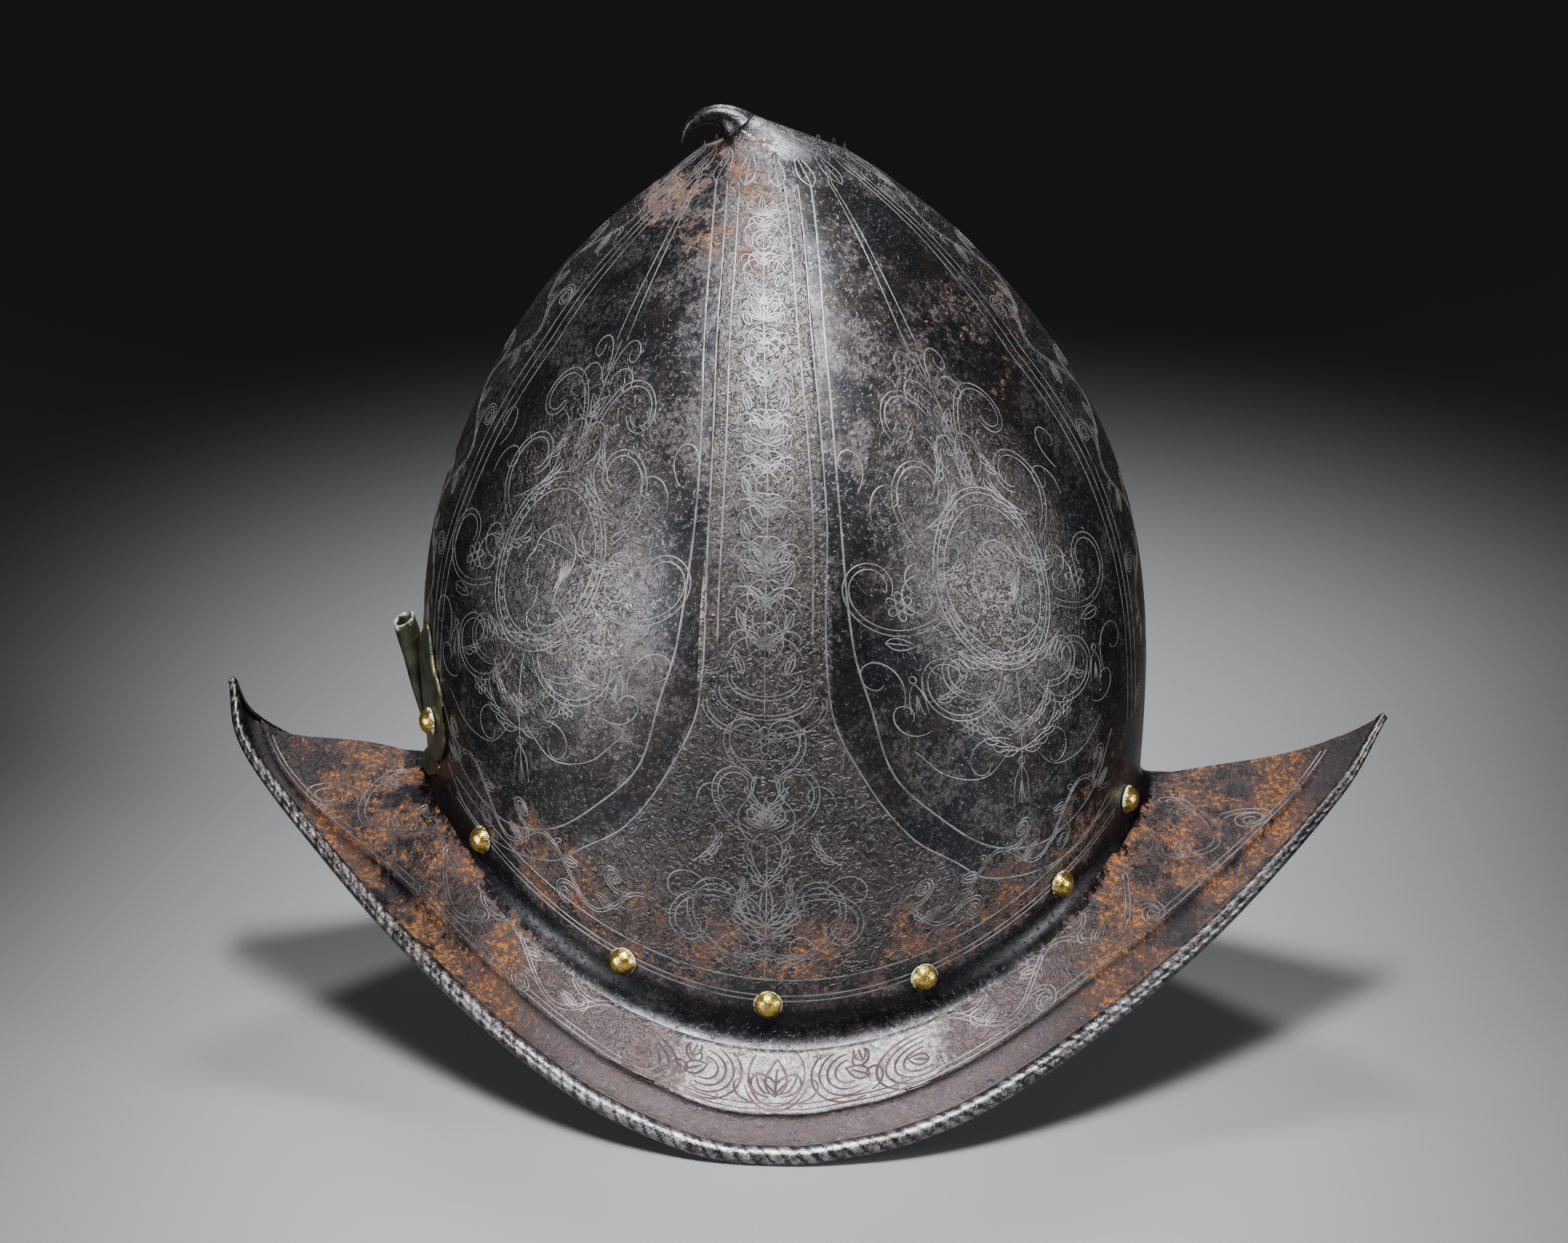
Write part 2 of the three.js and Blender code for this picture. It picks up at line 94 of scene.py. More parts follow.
# Horizontal sections of the skull: rise, length, width, lean and keel
SKULL_SECTIONS = np.array([
    (-0.27, 0.97, 0.97, 0.018, 0.02),
    (0.0, 0.984, 0.992, 0.018, 0.05),
    (0.2, 1.0, 1.0, 0.004, 0.08),
    (0.36, 0.973, 0.972, -0.002, 0.12),
    (0.5, 0.898, 0.89, -0.003, 0.17),
    (0.62, 0.792, 0.775, -0.012, 0.22),
    (0.74, 0.64, 0.62, -0.026, 0.28),
    (0.84, 0.465, 0.45, -0.033, 0.33),
    (0.91, 0.3, 0.3, -0.043, 0.36),
    (0.95, 0.193, 0.205, -0.058, 0.36),
])
SHOULDER_RISE = 0.95

# The roped edge: along, back, front, rear and roll
EDGE_SECTIONS = np.array([
    (0, 0, 0, 0, 1),
    (0.051, 0.05, 0, 0, 1),
    (0.12, 0.118, 0.02, 0.014, 1),
    (0.2, 0.196, 0.046, 0.05, 1),
    (0.3, 0.295, 0.103, 0.105, 1),
    (0.4, 0.393, 0.187, 0.18, 1),
    (0.5, 0.491, 0.284, 0.267, 1),
    (0.6, 0.589, 0.388, 0.362, 0.98),
    (0.7, 0.69, 0.498, 0.466, 0.93),
    (0.8, 0.803, 0.627, 0.606, 0.84),
    (0.9, 0.929, 0.77, 0.786, 0.72),
    (0.95, 0.981, 0.858, 0.892, 0.62),
    (1, 1, 1, 1.02, 0.48),
])
EDGE_INWARD, EDGE_ROUND = 2.1, 1.12
SLANT_LIMIT = 1.7
RIDGE_FADE, RIDGE_SHARPNESS = 0.85, 200
TIP_ROLL = ROLL_RADIUS * EDGE_SECTIONS[-1, 4] * SLANT_LIMIT

# The sunken border: the share of its width and of its depth
CHANNEL_PROFILE = np.array([
    (0, 0), (0.05, 0.42), (0.12, 0.66), (0.25, 0.84), (0.4, 0.96), (0.55, 1), (0.75, 0.97), (1, 0.78),
])

# The stalk: along, back, up, tilt, thick and broad
STALK_SECTIONS = np.array([
    (0, 0, 0, 0, 1, 1),
    (0.15, 0.07, 0.08, 0.1, 0.86, 0.82),
    (0.3, 0.21, 0.18, 0.3, 0.64, 0.66),
    (0.48, 0.44, 0.22, 0.6, 0.5, 0.54),
    (0.65, 0.69, 0.15, 0.86, 0.4, 0.44),
    (0.8, 0.87, 0.02, 1.12, 0.3, 0.34),
    (0.92, 0.97, -0.18, 1.3, 0.2, 0.23),
    (1, 1, -0.33, 1.4, 0.11, 0.13),
])

# The plume holder's scalloped plate: out, low and high
PLATE_OUTLINE = np.array([
    (0, -0.17, 0.8),
    (0.18, -0.17, 0.8),
    (0.34, -0.15, 0.85),
    (0.46, -0.1, 0.95),
    (0.6, -0.02, 1),
    (0.71, 0.02, 0.94),
    (0.79, 0.05, 0.82),
    (0.85, 0.08, 0.72),
    (0.93, 0.14, 0.66),
    (0.98, 0.24, 0.6),
    (1, 0.38, 0.5),
])
FILLET_TURN = 4

# The plume's tube: up, off, deep and wide
TUBE_SECTIONS = np.array([
    (0, -0.06, 0.17, 0.4),
    (0.22, 0.11, 0.45, 0.56),
    (0.45, 0.28, 0.72, 0.7),
    (0.7, 0.45, 0.95, 0.83),
    (0.86, 0.68, 1.08, 0.93),
    (1, 1, 1, 1),
])

# Lining rivets, in degrees from the side towards the front
RIVET_ANGLES = [-56, -25.5, -2, 22.6, 49, 70.5]


def read_table(rows, column, at):
    """A smooth curve through one column of a table, by its first column."""
    keys, values = rows[:, 0], rows[:, column]
    last = len(keys) - 1
    before = np.maximum(np.arange(last + 1) - 1, 0)
    after = np.minimum(np.arange(last + 1) + 1, last)
    slopes = (values[after] - values[before]) / (keys[after] - keys[before])
    t = np.clip(at, keys[0], keys[-1])
    i = np.clip(np.searchsorted(keys, t) - 1, 0, last - 1)
    step = keys[i + 1] - keys[i]
    u = (t - keys[i]) / step
    blend = u * u * (3 - 2 * u)
    lift = u * (1 - u) * step * ((1 - u) * slopes[i] - u * slopes[i + 1])
    return values[i] + (values[i + 1] - values[i]) * blend + lift


def xyz(x, y, z):
    """Three arrays, or numbers, as an array of points."""
    return np.stack(np.broadcast_arrays(x, y, z), axis=-1).astype(float)


def unit(v):
    return v / np.maximum(np.linalg.norm(v, axis=-1, keepdims=True), 1e-12)


def full_turn(count):
    """Even angles round a full turn."""
    return np.arange(count) * 2 * math.pi / count


def lengths_along(points):
    """The length along a line of points, or along several side by side, to each point."""
    steps = np.linalg.norm(np.diff(points, axis=0), axis=-1)
    return np.concatenate([np.zeros_like(steps[:1]), np.cumsum(steps, axis=0)])


def skull_point(angle, height):
    """The skull's outer surface. Angle 0 is the wearer's right and a quarter turn is the front."""
    angle, height = np.broadcast_arrays(np.asarray(angle, float), np.asarray(height, float))
    rise = (height - FOOT_HEIGHT) / SKULL_HEIGHT
    length, width, lean, keel = (read_table(SKULL_SECTIONS, k, rise) for k in (1, 2, 3, 4))
    x = SKULL_AXIS + SKULL_LENGTH / 2 * (lean + length * np.sin(angle))
    across = np.abs(np.cos(angle)) ** (1 + keel) * np.sign(np.cos(angle))
    return xyz(x, -SKULL_WIDTH / 2 * width * across, height)


def skull_normal(angle, height):
    step = 0.01
    around = skull_point(angle + step, height) - skull_point(angle - step, height)
    upward = skull_point(angle, height + 1) - skull_point(angle, height - 1)
    return unit(np.cross(around, upward))


def foot_at(angle):
    """The height of the skull's foot."""
    return FOOT_HEIGHT - FOOT_SAG * np.abs(np.cos(angle)) ** FOOT_CURVE


def skull_angle_at(y, height):
    """The angle at which the skull's rear lies a distance y from the middle plane."""
    low = np.zeros(np.broadcast(y, height).shape)
    high = low + math.pi / 2
    for _ in range(30):
        middle = (low + high) / 2
        wide = np.abs(skull_point(middle, height)[..., 1]) > np.abs(y)
        low = np.where(wide, middle, low)
        high = np.where(wide, high, middle)
    quarter = (low + high) / 2
    return np.where(y < 0, -quarter, quarter - math.pi)


def quarter_of(angle):
    """The share of the quarter turn from the side to a tip, negative towards the rear."""
    return np.arcsin(np.sin(angle)) / (math.pi / 2)


def side_sign(angle):
    """1 on the wearer's right and -1 on the left."""
    return np.where(np.cos(angle) >= 0, 1.0, -1.0)


def edge_point(angle):
    """The middle of the roped edge."""
    turned = quarter_of(angle)
    along = np.abs(turned)
    back, front, rear = (read_table(EDGE_SECTIONS, column, along) for column in (1, 2, 3))
    reach = np.where(turned > 0, turned * (FRONT_REACH - TIP_ROLL), -back * (REAR_REACH - TIP_ROLL))
    out = (1 - along ** EDGE_INWARD) ** EDGE_ROUND
    up = np.maximum(0, np.where(turned > 0, front, rear))
    return xyz(
        SKULL_AXIS + reach,
        -(BRIM_WIDTH / 2 - ROLL_RADIUS) * out * side_sign(angle),
        ROLL_RADIUS * math.cos(math.pi / 8) + TIP_RISE * up,
    )


class BrimSections:
    """Sections through the brim, one for each angle, from the skull's foot to the roped edge."""

    def __init__(self, angle):
        angle = np.asarray(angle, float)
        self.angle = angle
        self.foot = skull_point(angle, foot_at(angle))
        edge = edge_point(angle)
        self.length = np.linalg.norm(edge - self.foot, axis=-1)
        self.outward = unit(edge - self.foot)
        up = np.zeros_like(self.outward)
        up[..., 2] = 1
        self.normal = unit(up - self.outward * self.outward[..., 2:3])
        inner = np.arcsin(np.sin(angle)) * 0.98
        tangent = unit(edge_point(inner + 0.004) - edge_point(inner - 0.004))
        crossing = self.outward.copy()
        crossing[..., 1] *= side_sign(angle)
        slant = np.linalg.norm(np.cross(tangent, crossing), axis=-1)
        self.stretch = np.minimum(SLANT_LIMIT, 1 / slant)
        forward = np.sin(angle) > 0
        self.dish = np.where(forward, FRONT_DISH, REAR_DISH) * np.sin(angle) ** 4
        self.late = np.where(forward, FRONT_DISH_LATE, REAR_DISH_LATE)
        crest = np.maximum(0, np.sin(angle)) ** RIDGE_SHARPNESS
        self.sunken = CHANNEL_DEPTH * (1 - RIDGE_FADE * crest)
        self.roll = ROLL_RADIUS * read_table(EDGE_SECTIONS, 4, np.abs(quarter_of(angle)))
        self.field_end = self.length - (self.roll + CHANNEL_WIDTH) * self.stretch

    def bulge(self, s):
        """How far the surface stands off the straight line from the foot to the edge."""
        share = np.minimum(1, s / self.length)
        lift = FIELD_LIFT * np.minimum(1, s / self.field_end)
        return lift - self.dish * np.sin(math.pi * share ** self.late)

    def point(self, s, h):
        s, h = np.asarray(s, float), np.asarray(h, float)
        return self.foot + self.outward * s[..., None] + self.normal * h[..., None]

    def fillet(self, turn):
        """Turn of the way round the curve that joins the skull to the brim."""
        start = skull_point(self.angle, foot_at(self.angle) + FILLET)
        length = np.full_like(self.length, FILLET)
        landing = self.point(length, self.bulge(length))
        upper = start + (self.foot - start) * turn
        lower = self.foot + (landing - self.foot) * turn
        return upper + (lower - upper) * turn

    def under_rope(self):
        """Where the faces of the brim end, out of sight inside the roped edge."""
        sunk = 0.4 * self.roll
        return self.point(self.length - sunk * self.stretch, -sunk)

    def surface(self, s):
        """The brim's upper surface, s from the foot."""
        u = np.clip((s - self.field_end) / (CHANNEL_WIDTH * self.stretch), 0, 1)
        return self.point(s, self.bulge(s) - self.sunken * read_table(CHANNEL_PROFILE, 1, u))


def seat_point(angle, size):
    """A point of the stalk's oval seat, or of a smaller oval within it."""
    uphill = size * SEAT_LENGTH * np.sin(angle) / 2
    return xyz(
        SKULL_AXIS - SEAT_BACK + math.cos(SEAT_SLOPE) * uphill,
        -size * SEAT_WIDTH * np.cos(angle) / 2,
        APEX_HEIGHT - SEAT_DROP + math.sin(SEAT_SLOPE) * uphill,
    )


# Mesh helpers

def grid_faces(rows, columns):
    """Quads of a grid closed round its columns, which face out when its rows run down."""
    r, c = np.meshgrid(np.arange(rows - 1) * columns, np.arange(columns), indexing="ij")
    after = (c + 1) % columns
    return np.stack([r + c, r + columns + c, r + columns + after, r + after], axis=-1).reshape(-1, 4)


def on_side(points, faces, side):
    """The mesh as it is on the right, or its mirror on the left."""
    return (points, faces) if side == "right" else (points * (1, -1, 1), faces[:, ::-1])


def make_object(name, points, faces, material, replaces=(), slot=None):
    """A mesh object from points in millimetres."""
    mesh = bpy.data.meshes.new(name)
    mesh.from_pydata((np.asarray(points).reshape(-1, 3) * MM).tolist(), [], np.asarray(faces).tolist())
    mesh.polygons.foreach_set("use_smooth", [True] * len(mesh.polygons))
    mesh.materials.append(material)
    mesh.validate()
    mesh.update()
    made = bpy.data.objects.new(name, mesh)
    bpy.context.scene.collection.objects.link(made)
    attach(made, "root")
    if replaces:
        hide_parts(*replaces)
    return made


def add_attribute(made, name, values):
    """A value at each of a mesh's points, for its material to read."""
    attribute = made.data.attributes.new(name, "FLOAT", "POINT")
    attribute.data.foreach_set("value", np.asarray(values, dtype=np.float32).ravel())


# Maps from flat patterns, in millimetres, to the steel

class SideMap:
    """One side of the skull laid flat: s runs round it from the middle, forwards, and t up it."""

    heights = np.linspace(24, 272, 249)
    angles = np.radians(np.linspace(-95, 95, 761))

    def __init__(self):
        grid = skull_point(self.angles[:, None], self.heights[None])
        self.round = lengths_along(grid)
        middle = len(self.angles) // 2
        self.round -= self.round[middle]
        self.up = lengths_along(grid[middle])
        self.up -= np.interp(foot_at(0), self.heights, self.up)

    def read_round(self, angle, height):
        """The distance round the skull from the side's middle."""
        row = (np.asarray(angle) - self.angles[0]) / (self.angles[1] - self.angles[0])
        column = (np.asarray(height) - self.heights[0]) / (self.heights[1] - self.heights[0])
        i = np.clip(row.astype(int), 0, len(self.angles) - 2)
        j = np.clip(column.astype(int), 0, len(self.heights) - 2)
        u, v = row - i, column - j
        low = self.round[i, j] * (1 - u) + self.round[i + 1, j] * u
        high = self.round[i, j + 1] * (1 - u) + self.round[i + 1, j + 1] * u
        return low * (1 - v) + high * v

    def ridge(self, t, end):
        """How far round the front or rear ridge lies at t."""
        return self.read_round(np.full_like(t, end * math.pi / 2), np.interp(t, self.up, self.heights))

    def foot(self, s):
        """The height t of the skull's foot at s."""
        angle = self.angles[10:-10]
        round_at_foot = self.read_round(angle, foot_at(angle))
        return np.interp(s, round_at_foot, np.interp(foot_at(angle), self.heights, self.up))

    def place(self, flat):
        """Flat places as points of the skull, with its normals there."""
        s, t = flat.T
        height = np.interp(t, self.up, self.heights)
        low, high = np.full_like(s, self.angles[0]), np.full_like(s, self.angles[-1])
        for _ in range(24):
            middle = (low + high) / 2
            beyond = self.read_round(middle, height) > s
            low, high = np.where(beyond, low, middle), np.where(beyond, middle, high)
        return skull_point(low, height), skull_normal(low, height)


class BrimMap:
    """One side of the brim laid flat: v runs along it from the side's middle, forwards, and r across it."""

    def __init__(self):
        self.angles = np.radians(np.linspace(-89, 89, 713))
        sections = BrimSections(self.angles)
        self.along = lengths_along(sections.surface(sections.field_end / 2))
        self.along -= self.along[len(self.angles) // 2]
        self.width = sections.field_end

    def width_at(self, v):
        return np.interp(v, self.along, self.width)

    def place(self, flat):
        """Flat places as points of the brim, with its normals there."""
        angle = np.interp(flat[:, 0], self.along, self.angles)
        brim = BrimSections(angle)
        s = np.clip(flat[:, 1], 0, brim.field_end)
        points = brim.surface(s)
        around = BrimSections(angle + 0.003).surface(s) - points
        normals = unit(np.cross(around, brim.surface(s + 0.3) - points))
        return points, normals * np.sign(normals[:, 2:3])


# Strokes: each is an array of flat points

def flat_line(s, t):
    return np.column_stack([s, t])


def smooth(points, step=1.0):
    """An even run of points along a smooth curve through a few."""
    chord = lengths_along(np.asarray(points, float))
    rows = np.column_stack([chord, points])
    fine = np.linspace(0, chord[-1], max(4, int(chord[-1] / step) + 1))
    return np.column_stack([read_table(rows, k, fine) for k in (1, 2)])


def curl(start, heading, length, first, last, power=1.6):
    """A stroke whose turn a millimetre goes from first to last, in degrees."""
    share = np.linspace(0, 1, max(6, int(length / 0.6)))
    turn = np.radians(first + (last - first) * share ** power)
    angle = math.radians(heading) + np.concatenate([[0], np.cumsum(turn[1:])]) * length / (len(share) - 1)
    steps = flat_line(np.cos(angle), np.sin(angle)) * length / (len(share) - 1)
    return np.asarray(start, float) + np.cumsum(steps, axis=0)


def oval(centre, half_width, half_height, low=0, high=360):
    around = np.radians(np.linspace(low, high, max(12, int((half_width + half_height) * 3))))
    return flat_line(half_width * np.cos(around), half_height * np.sin(around)) + centre


def moved(strokes, at, turn=0, size=1, flip=1):
    """Strokes drawn round the origin, pointing up, put somewhere else."""
    c, n = math.cos(math.radians(turn)), math.sin(math.radians(turn))
    matrix = np.array([[c, n], [-n, c]])
    return [(stroke * (size * flip, size)) @ matrix + at for stroke in strokes]


def mirrored(strokes):
    return strokes + [stroke * (-1, 1) for stroke in strokes]


def strap(strokes, width=1.7):
    """Two lines in place of each stroke, as the edges of a strap."""
    edges = []
    for stroke in strokes:
        ahead = unit(np.gradient(stroke, axis=0))
        across = flat_line(-ahead[:, 1], ahead[:, 0]) * width / 2
        edges += [stroke + across, stroke - across]
    return edges


def leaf(length, width):
    """A pointed leaf with a midrib, which grows up from the origin."""
    lines = [
        [(0, 0), (half * 0.8, length * 0.25), (half * 0.75, length * 0.6), (0, length)]
        for half in (-width / 2, width / 2)
    ]
    return [smooth(points) for points in lines + [[(0, 0), (0, length * 0.4), (0, length * 0.75)]]]


def acanthus(length, lobes=4, spread=0.32):
    """A curling stem with lobes along its outer side, which grows up from the origin and bends right."""
    spine = curl((0, 0), 96, length, -1.5, -352 / length, 2.6)
    strokes = [spine]
    for i in range(lobes):
        k = int(len(spine) * (0.12 + 0.62 * i / lobes))
        ahead = spine[k + 1] - spine[k]
        heading = math.degrees(math.atan2(ahead[1], ahead[0]))
        size = length * spread * (1 - 0.1 * i)
        strokes.append(curl(spine[k], heading + 52, size, -4, -204 / size, 1.4))
        strokes.append(curl(spine[k], heading + 22, size * 0.7, -1, -84 / size, 1.2))
    return strokes


def palmette(size, petals=3):
    """A fan of petals over two volutes."""
    strokes = leaf(size, size * 0.3)
    for i in range(1, petals):
        strokes += mirrored(moved(leaf(size * (1 - 0.12 * i), size * 0.28), (0, 0), turn=34 * i))
    return strokes + mirrored([curl((0, 0), 10, size * 1.15, 4, 372 / size, 1.8)])


def rosette(radius, petals=6):
    """A round flower."""
    strokes = [oval((0, 0), radius * 0.3, radius * 0.3)]
    petal = [oval((0, radius * 0.66), radius * 0.27, radius * 0.36)]
    for i in range(petals):
        strokes += moved(petal, (0, 0), turn=360 * i / petals)
    return strokes


def tassel(length):
    """A tassel that hangs down from the origin."""
    lines = [[(0, 0), (side * 0.22, -0.35), (side * 0.3, -1)] for side in (-1, 1)]
    lines += [[(0, -0.4), (side * 0.1, -0.95)] for side in (-1, 0, 1)]
    knot = oval((0, length * 0.1), length * 0.12, length * 0.12)
    return [smooth(np.array(points) * length) for points in lines] + [knot]


def running_scroll(reach, half_width, pitch):
    """A wavy stem along the first axis, with a spiral and leaves in each hollow."""
    count = max(2, round(reach / pitch))
    pitch = reach / count
    along = np.linspace(0, reach, int(reach))
    strokes = [flat_line(along, half_width * 0.72 * np.cos(along / pitch * math.pi))]
    for i in range(count):
        side = -1 if i % 2 else 1
        start = (pitch * (i + 0.12), side * half_width * 0.7)
        strokes.append(curl(start, -side * 38, pitch * 1.75, side * 45 / pitch, side * 780 / pitch, 1.25))
        root = (pitch * (i + 0.62), -side * half_width * 0.3)
        strokes += moved(leaf(half_width * 0.62, half_width * 0.3), root, turn=side * -70)
        strokes += moved([curl((0, 0), 90, pitch * 0.42, -4, -50, 1.6)], root, turn=side * 60, flip=side)
    return strokes


def profile_bust(size, facing):
    """A head and shoulders in profile, as on an old coin, with plain even features and a wreath."""
    face = [
        (0.27, 0.86), (0.335, 0.74), (0.345, 0.62), (0.36, 0.58), (0.45, 0.43), (0.385, 0.395),
        (0.395, 0.34), (0.365, 0.305), (0.385, 0.265), (0.35, 0.225), (0.365, 0.14), (0.3, 0.09),
        (0.14, 0.12), (0.1, -0.1), (0.2, -0.28),
    ]
    eye = [(0.2, 0.585), (0.25, 0.61), (0.3, 0.58)]
    brow = [(0.19, 0.66), (0.26, 0.69), (0.32, 0.665)]
    lines = [
        [
            (0.27, 0.86), (0.05, 1.0), (-0.22, 0.92), (-0.36, 0.66), (-0.33, 0.4), (-0.22, 0.2),
            (-0.2, -0.05),
        ],
        [(-0.2, -0.05), (-0.45, -0.24), (-0.6, -0.42)],
        [(0.2, -0.28), (0.05, -0.4), (-0.25, -0.36), (-0.45, -0.24)],
        [(-0.33, 0.64), (-0.05, 0.74), (0.3, 0.78)],
    ]
    for i in range(5):
        lines.append([(-0.27 + 0.1 * i, 0.78), (-0.2 + 0.1 * i, 0.87), (-0.1 + 0.08 * i, 0.92)])
        end = (-0.24 + 0.02 * i, 0.3 - 0.05 * i)
        lines.append([(-0.3 + 0.04 * i, 0.56), (-0.31 + 0.03 * i, 0.42), end])
    strokes = [smooth(points, 0.02) for points in (face, eye, brow)]
    strokes += [smooth(points, 0.03) for points in lines]
    strokes.append(oval((0.0, 0.47), 0.045, 0.085, 60, 300))
    return [stroke * (size * facing, size) for stroke in strokes]


class Engraving:
    """Fine lines that stand a little proud of the steel, gathered into one mesh."""

    step = 0.9
    edge_sink = 0.03

    def __init__(self, surface):
        self.surface = surface
        self.strokes = []

    def add(self, strokes, width=0.42, lift=0.1, taper=0.35):
        self.strokes += [(np.asarray(stroke, float), width, lift, taper) for stroke in strokes]

    def build(self, name, material, side):
        flat, widths, lifts, sizes = [], [], [], []
        for stroke, width, lift, taper in self.strokes:
            lengths = lengths_along(stroke)
            count = max(4, int(lengths[-1] / self.step) + 2)
            at = np.linspace(0, lengths[-1], count)
            flat.append(np.column_stack([np.interp(at, lengths, stroke[:, k]) for k in (0, 1)]))
            fullness = 1 - taper + taper * np.sin(np.linspace(0, math.pi, count))
            widths.append(width * fullness)
            lifts.append(lift * fullness)
            sizes.append(count)
        points, normals = self.surface.place(np.concatenate(flat))
        widths, lifts = np.concatenate(widths)[:, None], np.concatenate(lifts)[:, None]
        tangents = np.empty_like(points)
        starts = np.concatenate([[0], np.cumsum(sizes)])
        faces = []
        for first, count in zip(starts, sizes):
            tangents[first:first + count] = np.gradient(points[first:first + count], axis=0)
            i = 3 * np.arange(first, first + count - 1)
            faces += [np.column_stack([i + k, i + k + 1, i + k + 4, i + k + 3]) for k in (0, 1)]
        half = unit(np.cross(normals, tangents)) * widths / 2
        sunk = points - normals * self.edge_sink
        corners = np.stack([sunk + half, points + normals * lifts, sunk - half], axis=1)
        make_object(name, *on_side(corners, np.concatenate(faces), side), material, slot="steel")


# The etched decoration's layout

ORNAMENT_AXIS = -5

# The lines round the panels, each a run of places: forwards of the axis, and up
PANEL_LINES = [
    [(14.5, 256), (17.4, 206), (20.3, 155), (24.9, 117), (30, 100), (37, 79), (51, 65), (66, 55), (83, 52),
     (97, 56), (110, 65), (119, 80)],
    [(10.6, 256), (16.5, 155), (18.7, 100), (29, 77), (42, 60), (56, 51), (66, 45), (85, 44), (104, 49),
     (119, 61)],
    [(6.8, 256), (12.6, 155), (13.4, 118)],
]

# The panels' own axis: up, forwards, and the half width there
PANEL_SHAPE = np.array([
    (40, 78, 36), (70, 78, 40), (100, 77, 46), (133, 68, 46), (155, 62, 42), (182, 52, 33), (206, 42, 25),
    (230, 32, 16), (256, 21, 7),
])
PANEL_HALF = 46
MEDALLION_RISE = 133

# The etched ground up the middle: its height, and how far it reaches on either side
CENTRE_GROUND = np.array([(20, 48), (60, 36), (100, 14), (155, 12), (256, 7)])
GROUND_FADE = 2.5
BASE_GROUND_REACH = 110

# The comb is the band along the ridge, and the base the band above the foot
COMB_LINES = (33, 29.5, 26)
COMB_MIDDLE = 12.5
COMB_FROM, COMB_TO = 80, 262
COMB_SCROLL_FROM = 72
BASE_LINES = (11, 12.6, 17.5)
BASE_MIDDLE = 28.5
BASE_REACH = 118
BASE_SCROLL_FROM = 36
CROWN_LEAVES_RISE = 255
BORDER_WIDTH, FINE_WIDTH = 0.6, 0.52


def comb_width(ridge):
    """How wide the band along the ridge is, as a share, where the ridge is so far round."""
    return np.minimum(1, ridge / 110) ** 0.8


def sprays(rows):
    """Acanthus sprays: the place, turn and size of each."""
    return [stroke for place, turn, size in rows for stroke in moved(acanthus(size), place, turn=turn)]


def panel_strokes(facing):
    """A medallion with a bust among strapwork, about the panel's own axis."""
    middle = (0, MEDALLION_RISE)
    half = strap([
        curl((1.5, 166), 84, 58, -1, -13, 1.5),
        curl((19.5, 142), 40, 50, 2, 13, 1.6),
        curl((19.5, 124), -30, 56, 2, 12, 1.6),
        curl((4, 106), -70, 56, 3, 11, 1.7),
        curl((9, 101), -20, 34, 4, 20, 1.6),
    ])
    half += [
        curl((1, 190), 84, 30, -2, -28, 1.4),
        curl((1, 186), 60, 24, -3, -26, 1.4),
        curl((3, 162), 30, 30, 4, 26, 1.4),
        curl((19.5, 136), 20, 30, -6, -18, 1.2),
        curl((19.5, 130), -10, 26, 6, 22, 1.2),
        curl((38, 98), 120, 34, -4, -20, 1.5),
        curl((36, 152), 80, 26, 4, 26, 1.4),
        curl((40, 160), 130, 26, -4, -24, 1.4),
        curl((30, 92), -30, 26, 5, 24, 1.4),
        curl((4, 86), 20, 30, -2, -20, 1.4),
        smooth([(3, 84), (14, 76), (28, 78), (37, 86)]),
        oval((0, 96), 9, 7, 200, 340),
    ]
    half += sprays([
        ((22, 148), 62, 26), ((21, 116), 118, 28), ((3, 82), 74, 26), ((27, 136), 92, 22),
        ((12, 102), 150, 20), ((30, 100), 70, 18), ((14, 160), 30, 18),
    ])
    half += moved(rosette(4.2), (31, 128)) + moved(rosette(3), (18, 92)) + moved(tassel(9), (33, 106))
    half += moved(leaf(9, 4), (38, 118), turn=100) + moved(leaf(10, 4.5), (2, 160), turn=28)
    half += moved(leaf(9, 4), (2, 176), turn=40)
    strokes = mirrored(half)
    strokes += [oval(middle, 16, 21.5), oval(middle, 18, 25), oval(middle, 19.3, 26.6)]
    beads = np.linspace(0, 2 * math.pi, 40, endpoint=False)
    strokes += [oval((17 * math.cos(a), MEDALLION_RISE + 23.2 * math.sin(a)), 0.6, 0.6) for a in beads]
    strokes += moved(profile_bust(21, facing), (-1.5 * facing, 123))
    strokes += [smooth([(0, 162), (0, 200)]), smooth([(0, 106), (0, 66)])]
    strokes += strap([smooth([(0, 200), (0, 230), (0, 262)])], 6)
    strokes += moved(tassel(11), (0, 78)) + moved(rosette(3.6), (0, 90)) + moved(leaf(12, 5), (0, 160))
    return strokes


